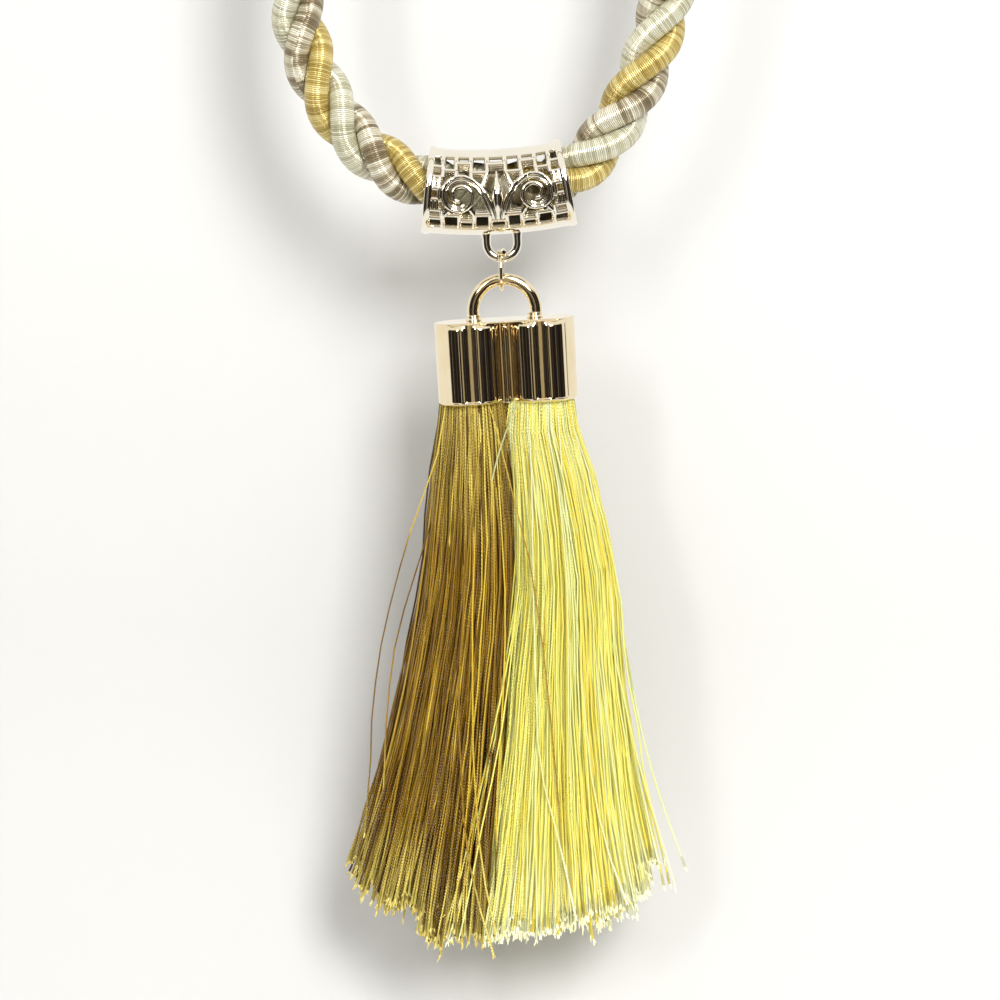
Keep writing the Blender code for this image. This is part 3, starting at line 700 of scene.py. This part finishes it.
# ----------------------------------------
# Cap.  Two fluted barrels cast side by side under one flat top plate, in the
# same alloy, polished and plated warm gold; the heads of the two bundles are
# glued inside.
CAP_HEIGHT = 20.0 * MM
CAP_CENTRE = Vector((CAP_CENTRE_X, 0.0, CAP_TOP_Z - CAP_HEIGHT / 2))
BARREL_RADIUS = 8.6 * MM
BARREL_OFFSET = 8.7 * MM
BARREL_STEPS = 72
RIDGE_HALF_WIDTH = 1.2 * MM
RIDGE_RISE = 0.9 * MM
CAP_WALL = 1.1 * MM
CAP_ROOF = 1.8 * MM
PLATE_HALF_DEPTH = 7.3 * MM
PLATE_THICKNESS = 0.32 * MM
FLUTE_ANGLE = radians(25.0)
FLUTE_HALF_ANGLE = radians(18.5)
FLUTE_RISE = 0.8 * MM
RIM_RISE = 0.6 * MM  # the bottom rim stands out as far as this across the front
RIM_HALF_ANGLE = radians(52)
RIM_DROP = 0.4 * MM  # how far the rim reaches below the barrels
RIB_ANGLE = radians(46)  # a thin rib between the flutes and the waist
RIB_HALF_ANGLE = radians(6)
RIB_RISE = 0.45 * MM
WAIST_RISE = 0.3 * MM
RIM_ROWS = (  # rounded under: mm up, mm inset, share of RIM_RISE
    (0.0, 0.6, 0.0), (0.12, 0.38, 0.2), (0.3, 0.2, 0.5), (0.52, 0.08, 0.78), (0.76, 0.0, 0.95),
    (0.92, 0.0, 1.0))
FLUTE_ROWS = ((1.02, 0.9, 0.9), (1.2, 1.0, 0.0), (1.45, 1.0, 0.0))  # mm up, flutes, rim
FLUTE_ENDS = (  # mm below the plate, share of the flutes' rise
    (1.15, 1.0), (1.0, 0.94), (0.8, 0.8), (0.58, 0.6), (0.36, 0.34), (0.1, 0.0))
PLATE_ROWS = ((0.0, 0.0), (0.12, 0.03), (0.23, 0.13), (0.3, 0.3), (0.32, 0.5))  # mm up, mm inset
cap_place = Matrix.Translation(CAP_CENTRE) @ Matrix.Rotation(-CAP_TILT, 4, "Y")


def barrel_front(outset, fluted, rim=0.0):
    """The front of the left barrel as x and depth, from its outer side to the waist.  Between
    its two flutes lies a flat fillet."""
    radius = BARREL_RADIUS + outset
    waist = acos((BARREL_OFFSET - RIDGE_HALF_WIDTH) / BARREL_RADIUS)
    points = []
    for i in range(BARREL_STEPS + 1):
        turn = (pi - waist) * i / BARREL_STEPS
        off = abs(turn - pi / 2)
        rise = fluted * FLUTE_RISE * sqrt(
            max(0.0, 1 - ((off - FLUTE_ANGLE) / FLUTE_HALF_ANGLE) ** 2))
        fillet = FLUTE_ANGLE - FLUTE_HALF_ANGLE
        if off < fillet:
            rise = radius * (cos(fillet) / cos(off) - 1)
        rise = max(rise, rim * RIM_RISE * sqrt(max(0.0, 1 - (off / RIM_HALF_ANGLE) ** 4)))
        rib = (turn - pi / 2 - RIB_ANGLE) / RIB_HALF_ANGLE
        rise += fluted * RIB_RISE * sqrt(max(0.0, 1 - rib ** 2))
        points.append((-BARREL_OFFSET - (radius + rise) * cos(turn), (radius + rise) * sin(turn)))
    return points


def cap_outline(left_front, ridge_depth, z):
    """A closed plan outline, mirrored left to right and front to back."""
    front = [Vector((x, -depth, z)) for x, depth in left_front]
    waist_depth = left_front[-1][1]
    ridge = [Vector((RIDGE_HALF_WIDTH * sin(turn) * 0.8,
                     -waist_depth - (ridge_depth - waist_depth) * cos(turn), z))
             for turn in (pi / 2 * (k / 5 - 1) for k in range(11))]
    front += ridge + [Vector((-p.x, p.y, z)) for p in reversed(front)]
    back = [Vector((p.x, -p.y, z)) for p in reversed(front[1:-1])]
    return front + back


def barrel_outline(z, outset=0.0, fluted=0.0, rim=0.0):
    """The plan outline of the two barrels."""
    left_front = barrel_front(outset, fluted, rim)
    return cap_outline(left_front, left_front[-1][1] + WAIST_RISE + fluted * RIDGE_RISE, z)


def plate_outline(z, inset=0.0):
    """The plan outline of the top plate: straight front and back, round ends."""
    edge_depth = PLATE_HALF_DEPTH - inset
    left_front = [(x, min(depth, edge_depth) if x < -BARREL_OFFSET else edge_depth)
                  for x, depth in barrel_front(-inset, 0.0)]
    return cap_outline(left_front, edge_depth, z)


top = CAP_HEIGHT / 2
plate_bottom = top - PLATE_THICKNESS
bottom = -top - RIM_DROP
cap_rings = [barrel_outline(top - CAP_ROOF, -CAP_WALL),
             barrel_outline(bottom + 0.6 * MM, -CAP_WALL),
             barrel_outline(bottom, 0.25 * MM - CAP_WALL)]
for height, inset, rim in RIM_ROWS:
    cap_rings.append(barrel_outline(bottom + height * MM, -inset * MM, 0.0, rim))
for height, fluted, rim in FLUTE_ROWS:
    cap_rings.append(barrel_outline(bottom + height * MM, 0.0, fluted, rim))
for height in (0.0, plate_bottom - 1.4 * MM):
    cap_rings.append(barrel_outline(height, 0.0, 1.0))
for drop, share in FLUTE_ENDS:
    cap_rings.append(barrel_outline(plate_bottom - drop * MM, -0.05 * MM, share))
for height, inset in PLATE_ROWS:
    cap_rings.append(plate_outline(plate_bottom + height * MM, inset * MM))
bm = bmesh.new()
edge_rings = []
for outline in cap_rings:
    verts = [bm.verts.new(cap_place @ point) for point in outline]
    edge_rings.append([bm.edges.new((a, b)) for a, b in zip(verts, verts[1:] + verts[:1])])
for lower, upper in zip(edge_rings, edge_rings[1:]):
    bmesh.ops.bridge_loops(bm, edges=lower + upper)
bmesh.ops.contextual_create(bm, geom=edge_rings[0])
bmesh.ops.contextual_create(bm, geom=edge_rings[-1])
bmesh.ops.recalc_face_normals(bm, faces=bm.faces)
cap = finished("cap_barrels", bm)
for polygon in cap.data.polygons:
    polygon.use_smooth = len(polygon.vertices) < 5
cap_edges = cap.modifiers.new("sharp_flutes", "EDGE_SPLIT")
cap_edges.split_angle = radians(38)
cap.data.materials.append(gold_plate)
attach(cap, "root")
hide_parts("cap")


# ----------------------------------------
# Skirt.  Two bundles of two-ply rayon strands, old gold on the left and pale
# yellow on the right, glued by their heads into the cap's barrels; the ends
# are trimmed by hand along an arc, and a few strands stray from the rest.
STRANDS_A_BUNDLE = 1750
STRAND_RADIUS = 0.255 * MM
STRAND_LEVELS = 13
STRAND_LENGTH = 140 * MM  # of the longest, for its number of twists
STRAND_TWIST = 1.5 * MM
HEAD_RADIUS = 7.1 * MM
HEAD_OFFSET = 8.7 * MM
SKIRT_ROWS = np.array((  # z, left, right and half depth, in mm
    (-331.5, -15.0, 16.8, 7.0), (-340.0, -16.8, 19.2, 8.2), (-350.0, -17.8, 22.2, 9.4),
    (-372.0, -19.7, 27.3, 11.6), (-384.0, -21.4, 28.4, 12.9), (-396.0, -23.6, 28.9, 14.2),
    (-422.0, -29.0, 32.0, 17.0), (-433.0, -32.2, 33.6, 18.0), (-448.0, -36.6, 36.6, 19.4),
    (-474.0, -44.0, 41.0, 21.6))) * MM
STRAND_TOP = -326 * MM
HEAD_END = -330 * MM  # from here to FREE_FROM the strands leave the head's shape
FREE_FROM = -341 * MM
TIP_LOWEST = -464.6 * MM
TIP_ARC_RADIUS = 60 * MM
TIP_ARC_X = 1.2 * MM
PACKING = 0.36  # a power under 0.5 packs strands near the bundle's surface
MIDDLE = 0.47  # a bundle's middle and half width, in the skirt's half widths
REACH = 0.53
TUFTS = 75  # strands lie in tufts that end at about the same height
RAGGED, TUFT_RAGGED = 1.1 * MM, 1.9 * MM
TUFT_SWAY = 0.7 * MM
SPREAD_X, SPREAD_Y = 1.15 * MM, 1.0 * MM
ASTRAY = 0.07  # the share of strands that spread ASTRAY_MORE times more
ASTRAY_MORE = 2.4
SWEEP_FORWARD = 0.26  # how far a sweeping strand comes forward, as a share
BOW_X, BOW_Y = 0.6 * MM, 0.9 * MM
WAVE = 0.3 * MM
WAVE_LENGTH_X, WAVE_LENGTH_Y = 45 * MM, 38 * MM
TIP_SWELL = 1.3  # the cut tip swells
HAIRS_A_STRAND = 3  # at each cut end
HAIR_RADIUS = 0.13 * MM
HAIR_SPREAD = 0.32 * MM
HAIR_REACH = (0.5 * MM, 1.5 * MM)
GOLD_STRAYS = (  # x, depth in front and z, in mm
    ((-13.2, 3, -326), (-15.0, 5, -338.8), (-16.4, 7, -346.3), (-23.7, 8, -366.3),
     (-27.8, 9, -381.4), (-31.2, 9, -396.6), (-32.8, 10, -412.0), (-33.1, 10, -422.3),
     (-34.8, 10, -440.5)),
    ((-13.4, 1, -326), (-14.6, 2, -338.8), (-15.9, 3, -356.2), (-20.6, 4, -371.3),
     (-24.6, 5, -383.9), (-27.7, 6, -396.6), (-29.3, 6, -412.0), (-29.9, 7, -427.5),
     (-31.0, 7, -443.1)),
    ((-5.0, 5.0, -328), (-4.4, 6.2, -333.5), (-1.5, 8.6, -338.8), (2.2, 10.6, -353.8),
     (6.7, 13.0, -371.3), (9.6, 15.0, -390), (12.2, 17.4, -414), (14.6, 19.6, -440),
     (15.6, 21.0, -456)),
    ((-4.0, 4.5, -328), (-6.0, 9.0, -345), (-9.0, 13.0, -372), (-11.2, 17.0, -405),
     (-9.6, 20.6, -437), (-8.2, 21.6, -446), (-6.3, 22.0, -454), (-4.3, 22.2, -462.3),
     (-2.4, 22.4, -468)),
    ((-4.4, 3.5, -328), (-6.4, 8.6, -350), (-7.6, 14.0, -385), (-7.4, 18.6, -420),
     (-5.6, 21.2, -444), (-3.9, 21.9, -453), (-1.9, 22.3, -462)))
PALE_STRAYS = (
    ((5.2, 4.6, -328), (3.6, 6.4, -333.0), (0.8, 8.8, -338.8), (-1.4, 9.7, -345.5),
     (-2.6, 9.4, -350.5), (-3.4, 6.0, -356)),
    ((6.0, 5.0, -328), (7.0, 10.2, -350), (7.6, 14.4, -385), (8.7, 17.9, -420.5),
     (14.2, 20.6, -440.7), (17.9, 22.0, -458.1)),
    ((13.0, 5.0, -328), (14.6, 9.0, -350), (18.2, 12.0, -385), (21.6, 14.6, -422.6),
     (25.0, 16.0, -440.7), (30.8, 16.4, -456.3)),
    ((15.5, 2, -326), (17.6, 3, -340), (24.6, 5, -381.4), (33.8, 7, -422.3), (43.6, 8, -455.2)),
    ((15.2, 1, -326), (17.2, 2, -340), (26.0, 3, -384), (33.6, 5, -425.0), (39.4, 6, -449.2)))
PALE_SWEEP = 17 * MM


def skirt_outline(z):
    """Left, right and half depth of the skirt at each height in an array."""
    return [np.interp(z, SKIRT_ROWS[::-1, 0], SKIRT_ROWS[::-1, column]) for column in (1, 2, 3)]


def eased(share):
    """A smooth step from 0 to 1."""
    share = np.clip(share, 0, 1)
    return share * share * (3 - 2 * share)


def bundle(side, pull, sweep, dice):
    """The strands of one bundle, as an array of strand, level and x, y, z; with them, how far
    out each strand lies, from -1 at the waist to 1 at the outer side, and how near the bundle's
    surface.  The pull gathers strands into tufts, and the sweep carries the front strands
    nearest the waist over the other bundle."""
    count = STRANDS_A_BUNDLE
    radius = dice.random(count) ** PACKING
    turn = dice.random(count) * 2 * np.pi
    u, v = radius * np.cos(turn), radius * np.sin(turn)
    across = side * (MIDDLE + REACH * u * np.sqrt(1 - 0.2 * v ** 2))
    tufts = dice.random((TUFTS, 2)) * 2 - 1
    nearest = np.argmin((u[:, None] - tufts[:, 0]) ** 2 + (v[:, None] - tufts[:, 1]) ** 2, axis=1)
    tuft_across = side * (MIDDLE + REACH * tufts[nearest, 0])
    tuft_v = tufts[nearest, 1]
    sway = dice.normal(0, 1, (TUFTS, 3))[nearest]
    crossing = 0.35 + 0.65 * dice.random(TUFTS)[nearest]
    left, right, _ = skirt_outline(np.array([-460 * MM]))
    tip_x = (left + right) / 2 + across * (right - left) / 2
    ragged = dice.normal(0, RAGGED, count) + TUFT_RAGGED * sway[:, 2]
    tip_z = TIP_LOWEST + TIP_ARC_RADIUS + ragged - np.sqrt(
        TIP_ARC_RADIUS ** 2 - (tip_x - TIP_ARC_X) ** 2)
    share = np.append(np.linspace(0, 0.975, STRAND_LEVELS - 1) ** 0.95, 1.0)[None, :]
    z = STRAND_TOP + (tip_z[:, None] - STRAND_TOP) * share
    left, right, depth = skirt_outline(z)
    pulled = pull * (0.5 * np.sin(np.pi * share) ** 2 + share ** 4)
    lean = across[:, None] * (1 - pulled) + tuft_across[:, None] * pulled
    v_lean = v[:, None] * (1 - pulled) + tuft_v[:, None] * pulled
    x = (left + right) / 2 + lean * (right - left) / 2
    y = v_lean * depth * np.sqrt(1 - 0.45 * lean ** 2)
    inner = np.where(u < 0, 1.12, 1.0)[:, None]
    head_x = CAP_CENTRE.x + side * (HEAD_OFFSET + HEAD_RADIUS * u[:, None] * inner)
    fall = eased((HEAD_END - z) / (HEAD_END - FREE_FROM))
    x = head_x * (1 - fall) + x * fall
    y = HEAD_RADIUS * v[:, None] * (1 - fall) + y * fall
    grow = share ** 1.5
    astray = 1.0 + ASTRAY_MORE * (dice.random((count, 1)) < ASTRAY)
    x += (sway[:, :1] * TUFT_SWAY + dice.normal(0, 1, (count, 1)) * astray * SPREAD_X) * grow
    y += (sway[:, 1:2] * TUFT_SWAY + dice.normal(0, 1, (count, 1)) * SPREAD_Y) * grow
    over = (np.clip(-u * 1.1, 0, 1) * np.clip(-v * 1.6, 0, 1) * crossing)[:, None] * share ** 2.2
    x -= side * sweep * over
    y -= SWEEP_FORWARD * sweep * over
    bow = np.sin(np.pi * share) * fall
    x += dice.normal(0, BOW_X, (count, 1)) * bow
    y += dice.normal(0, BOW_Y, (count, 1)) * bow
    wave = dice.random((count, 3))
    waves = 0.6 + wave[:, :1]
    x += WAVE * fall * np.sin(2 * np.pi * (z / WAVE_LENGTH_X * waves + wave[:, 1:2]))
    y += WAVE * fall * np.sin(2 * np.pi * (z / WAVE_LENGTH_Y * waves + wave[:, 2:]))
    return np.stack([x, y, z], axis=2), u, radius


def stray(points):
    """One strand that leaves its bundle, through (x, depth in front, z) points in mm."""
    x, depth, z = np.array(points).T * MM
    levels = np.linspace(z[0], z[-1], STRAND_LEVELS)
    return np.stack([np.interp(levels, z[::-1], x[::-1]), -np.interp(levels, z[::-1], depth[::-1]),
                     levels], axis=1)


def strand_material(name, stops, end_light_colour, end_light_share, roughness, glint):
    """Twisted rayon: each strand has its own shade, kept in an attribute, its two plies glint in
    turn along it with painted shade in the twist's valleys, and it is paler where it leaves the
    cap, as a painted highlight, and at its frayed tip, partly the fibres' own paler colour and
    partly painted light."""
    mat = new_material(name)
    own = add_node(mat, "Attribute", output=2, attribute_name="strand")
    along = add_node(mat, "SeparateXYZ", [add_node(mat, "UVMap", uv_map="UVMap")])
    round_it = along.node.outputs[1]
    twist = maths(mat, "SINE", maths(mat, "MULTIPLY", maths(
        mat, "ADD", maths(mat, "MULTIPLY", along, round(STRAND_LENGTH / STRAND_TWIST)), maths(
            mat, "ADD", round_it, maths(mat, "MULTIPLY", own, 37.0))), 4 * pi))
    drift = noise(mat, add_node(mat, "CombineXYZ", [
        maths(mat, "MULTIPLY", along, 9.0), maths(mat, "MULTIPLY", own, 61.0), 0.0]), 1.0, 2.0)
    mixed = maths(mat, "ADD", maths(mat, "MULTIPLY", own, 0.75),
                  maths(mat, "MULTIPLY", drift, 0.25))
    # Painted light: paler near the cap as a painted highlight, and at the tip partly the frayed
    # fibres' own paler colour and partly painted light through the thin tips
    ends = colour_ramp(mat, along, [(at, (share * end_light_share,) * 3) for at, share in (
        (0.03, 0.8), (0.12, 0.6), (0.30, 0.0), (0.78, 0.0), (0.91, 0.9), (0.95, 1.5), (1.0, 2.0))])
    with_end_light = add_node(mat, "MixRGB", [
        maths(mat, "MULTIPLY", ends, maths(mat, "ADD", maths(mat, "MULTIPLY", own, 2.4), -0.2)),
        colour_ramp(mat, mixed, stops), (*end_light_colour, 1.0)])
    # Painted shade: the colour is darkened in the valleys of the twist between the two plies
    twist_valley_shade = map_range(mat, twist, -1.0, 0.2, 0.78, 1.0)
    link(mat, add_node(mat, "MixRGB", [1.0, with_end_light, twist_valley_shade], blend_type="MULTIPLY"), "Base Color")
    bump(mat, 0.9, 0.12 * MM, twist)
    set_inputs(mat, Roughness=roughness, Specular_IOR_Level=glint)
    return mat


def hang_bundle(name, lines, shades, mat, node):
    swell = np.linspace(0.85, 1.05, lines.shape[1])
    swell[-1] = TIP_SWELL
    piece = tubes(name, [(list(map(tuple, line)), swell) for line in lines], STRAND_RADIUS, 2)
    own = piece.data.attributes.new("strand", "FLOAT", "POINT")
    own.data.foreach_set("value", np.repeat(shades, len(piece.data.vertices) // len(lines)))
    piece.data.materials.append(mat)
    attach(piece, "root")
    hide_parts(node)
    return piece


def fray(name, lines, colour, tint, dice):
    """The short hairs that the cut ends of a bundle's strands fray into."""
    ends, before = (np.repeat(lines[:, level], HAIRS_A_STRAND, axis=0) for level in (-1, -2))
    along = (ends - before) / np.linalg.norm(ends - before, axis=1, keepdims=True)
    spread = dice.normal(0, HAIR_SPREAD, ends.shape)
    reach = dice.uniform(*HAIR_REACH, (len(ends), 1))
    hairs = np.stack([ends - along * 0.6 * MM, ends + along * reach / 2 + spread * 0.6,
                      ends + along * reach + spread], axis=1)
    piece = tubes(name, [list(map(tuple, hair)) for hair in hairs], HAIR_RADIUS, 2)
    mat = new_material(name)
    link(mat, colour_ramp(mat, noise(mat, object_place(mat), 600.0, 2.0), (
        (0.35, colour), (0.65, tint))), "Base Color")
    set_inputs(mat, Roughness=0.6)
    piece.data.materials.append(mat)
    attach(piece, "root")
    return piece


dice = np.random.default_rng(62)
gold_lines, outward, _ = bundle(-1, 0.3, 0.0, dice)
gold_lines = np.concatenate([gold_lines, [stray(points) for points in GOLD_STRAYS]])
# Painted shade: strands nearer the waist are darker, where the pale bundle shades the gold one;
# the rest of the spread is random tone
gold_tone_and_shade = np.clip(np.append(0.45 + 0.18 * outward, [0.7] * len(GOLD_STRAYS))
                      + dice.normal(0, 0.27, len(gold_lines)), 0, 1)
gold_rayon = strand_material(
    "gold_rayon", ((0.12, (0.12, 0.05, 0.002)), (0.40, (0.28, 0.144, 0.004)),
                   (0.62, (0.47, 0.26, 0.008)), (0.86, (0.95, 0.65, 0.05))),
    end_light_colour=(0.97, 0.80, 0.17), end_light_share=0.6, roughness=0.25, glint=0.5)
hang_bundle("skirt_gold_strands", gold_lines, gold_tone_and_shade, gold_rayon, "skirt_gold")
fray("skirt_gold_frays", gold_lines, (0.80, 0.62, 0.12), (0.92, 0.80, 0.28), dice)

pale_lines, outward, surfacing = bundle(1, 0.12, PALE_SWEEP, dice)
pale_lines = np.concatenate([pale_lines, [stray(points) for points in PALE_STRAYS]])
# Strands at the bundle's sides are paler ivory. Painted light: strands at its surface are paler
# ivory and the deeper ones a warmer yellow, standing in for light scattered deep inside the bundle
pale_tone_and_light = np.clip(np.append(0.20 + 0.2 * np.abs(outward) + 0.36 * (surfacing > 0.9),
                                [0.8] * len(PALE_STRAYS))
                      + dice.normal(0, 0.17, len(pale_lines)), 0, 1)
pale_rayon = strand_material(
    "pale_rayon", ((0.10, (0.94, 0.74, 0.08)), (0.34, (0.93, 0.84, 0.15)),
                   (0.56, (0.88, 0.88, 0.24)), (0.85, (0.86, 0.89, 0.44))),
    end_light_colour=(0.90, 0.93, 0.62), end_light_share=0.5, roughness=0.33, glint=0.3)
set_inputs(pale_rayon, Sheen_Weight=0.15, Sheen_Roughness=0.45, Sheen_Tint=(1.0, 0.95, 0.5, 1.0))
pale_skirt = hang_bundle("skirt_pale_strands", pale_lines, pale_tone_and_light, pale_rayon, "skirt_pale")
pale_frays = fray("skirt_pale_frays", pale_lines, (0.92, 0.90, 0.50), (0.94, 0.92, 0.68),
                  dice)


# ----------------------------------------
# Studio.  A wall of pale paper behind the tassel curves forward into the floor
# below it.  A soft lamp stands high on the right and a smaller one on the
# left, and the plating mirrors a bright room with a dark end in front.
WALL_Y = 45 * MM
FLOOR_Z = -560 * MM
BEND_RADIUS = 160 * MM
BEND_STEPS = 12
WALL_TOP = 900 * MM
FLOOR_REACH = 1.6
WALL_HALF_WIDTH = 1.6
AIR_STRENGTH = 0.55
profile = [Vector((0.0, WALL_Y, WALL_TOP))]
for i in range(BEND_STEPS + 1):
    turn = pi / 2 * i / BEND_STEPS
    profile.append(Vector((0.0, WALL_Y - BEND_RADIUS * (1 - cos(turn)),
                           FLOOR_Z + BEND_RADIUS * (1 - sin(turn)))))
profile.append(Vector((0.0, WALL_Y - FLOOR_REACH, FLOOR_Z)))
bm = bmesh.new()
verts = [bm.verts.new(point - Vector((WALL_HALF_WIDTH, 0, 0))) for point in profile]
edges = [bm.edges.new(pair) for pair in zip(verts, verts[1:])]
swept = bmesh.ops.extrude_edge_only(bm, edges=edges)["geom"]
bmesh.ops.translate(bm, vec=(2 * WALL_HALF_WIDTH, 0, 0),
                    verts=[item for item in swept if isinstance(item, bmesh.types.BMVert)])
bmesh.ops.recalc_face_normals(bm, faces=bm.faces)
if bm.faces[:][0].normal.y > 0:
    bmesh.ops.reverse_faces(bm, faces=bm.faces)
studio = finished("studio_sweep", bm)
paper = new_material("studio_paper")
set_inputs(paper, Base_Color=(0.655, 0.65, 0.635, 1.0), Roughness=0.9, Specular_IOR_Level=0.1)
one_sided = add_node(paper, "MixShader", [  # clear from behind
    add_node(paper, "NewGeometry", output=6), shader_of(paper).outputs[0],
    add_node(paper, "BsdfTransparent")])
paper.node_tree.links.new(one_sided, paper.node_tree.nodes["Material Output"].inputs[0])
studio.data.materials.append(paper)
studio.visible_glossy = False

world = bpy.data.worlds.new("studio_air")
world.use_nodes = True
air = world.node_tree.nodes["Background"]
air.inputs["Color"].default_value = (1.0, 0.99, 0.965, 1.0)
air.inputs["Strength"].default_value = AIR_STRENGTH
bpy.context.scene.world = world
bpy.context.scene.view_settings.view_transform = "Standard"


def soft_lamp(name, toward, distance, width, height, watts):
    """An oblong lamp that points at the middle of the tassel from a given direction."""
    lamp = bpy.data.objects.new(name, bpy.data.lights.new(name, "AREA"))
    lamp.data.shape = "RECTANGLE"
    lamp.data.size = width
    lamp.data.size_y = height
    lamp.data.energy = watts
    direction = Vector(toward).normalized()
    lamp.location = CAMERA_AIM + direction * distance
    lamp.rotation_euler = direction.to_track_quat("Z", "Y").to_euler()
    bpy.context.scene.collection.objects.link(lamp)
    return lamp


soft_lamp("key_lamp", (0.30, -0.86, 0.55), distance=0.95, width=0.30, height=0.42, watts=8.5)
soft_lamp("window_lamp", (-0.42, -0.85, 0.45), distance=0.95, width=0.10, height=0.30, watts=2.0)
# Light scattered inside the pale rayon, as a fill from below that falls on that bundle alone
inner_light = soft_lamp("rayon_fill", (0.05, -0.50, -0.87), distance=0.34, width=0.16, height=0.16,
                        watts=0.72)
inner_light.data.use_shadow = False
inner_light.visible_glossy = False
inner_light.light_linking.receiver_collection = bpy.data.collections.new("pale_skirt")
for piece in (pale_skirt, pale_frays):
    inner_light.light_linking.receiver_collection.objects.link(piece)

# The room that only the plating mirrors
ROOM_RADIUS = 1.3
ROOM_LIGHT = (0.96, 0.95, 0.92, 1.0)
DARK_BEARINGS = (-1.42, 1.62, 0.05)  # of the dark end, in radians, and how soft its sides are
DARK_LIFTS = (-0.74, 0.52, 0.07)  # its lower and upper end, in room radii, and how soft
ROOM_STREAKS = (  # bearings in radians, and colours, of what shines there
    (-0.10, 0.09, (0.44, 0.37, 0.24)), (-0.36, -0.32, (0.75, 0.72, 0.66)),
    (0.74, 0.77, (0.28, 0.25, 0.2)), (-1.08, -1.05, (0.3, 0.26, 0.2)))
STREAK_SOFTNESS = 0.012
bm = bmesh.new()
bmesh.ops.create_icosphere(bm, subdivisions=4, radius=ROOM_RADIUS)
bmesh.ops.translate(bm, vec=CAMERA_AIM, verts=bm.verts)
bmesh.ops.reverse_faces(bm, faces=bm.faces)
room = finished("mirrored_room", bm)
walls = new_material("room_walls")


def room_band(value, low, high, soft):
    """1 between two bounds of a value and 0 outside them, with soft edges."""
    rising, falling = (
        map_range(walls, value, bound - soft, bound + soft, *ends, interpolation_type="SMOOTHSTEP")
        for bound, ends in ((low, (0.0, 1.0)), (high, (1.0, 0.0))))
    return maths(walls, "MULTIPLY", rising, falling)


where = add_node(walls, "SeparateXYZ", [object_place(walls)])
bearing = maths(walls, "ARCTAN2", where, maths(walls, "MULTIPLY", where.node.outputs[1], -1.0))
lift = maths(walls, "DIVIDE", maths(walls, "SUBTRACT", where.node.outputs[2], CAMERA_AIM.z),
             ROOM_RADIUS)
dark_end = maths(walls, "MULTIPLY", room_band(bearing, *DARK_BEARINGS),
                 room_band(lift, *DARK_LIFTS))
clutter = add_node(walls, "TexNoise", {
    "W": bearing, "Scale": 5.0, "Detail": 5.0, "Roughness": 0.75}, noise_dimensions="1D")
glow = colour_ramp(walls, clutter, (
    (0.0, (0.004, 0.004, 0.005)), (0.50, (0.012, 0.011, 0.012)), (0.58, (0.06, 0.045, 0.035)),
    (0.64, (0.016, 0.014, 0.015)), (0.76, (0.10, 0.09, 0.075))))
for low, high, light in ROOM_STREAKS:
    glow = add_node(walls, "MixRGB", [
        room_band(bearing, low, high, STREAK_SOFTNESS), glow, (*light, 1.0)])
link(walls, add_node(walls, "MixRGB", [dark_end, ROOM_LIGHT, glow]), "Emission Color")
set_inputs(walls, Emission_Strength=1.0, Base_Color=(0.0, 0.0, 0.0, 1.0), Specular_IOR_Level=0.0)
room.data.materials.append(walls)
room.visible_camera = False
room.visible_diffuse = False
room.visible_shadow = False
room.visible_transmission = False
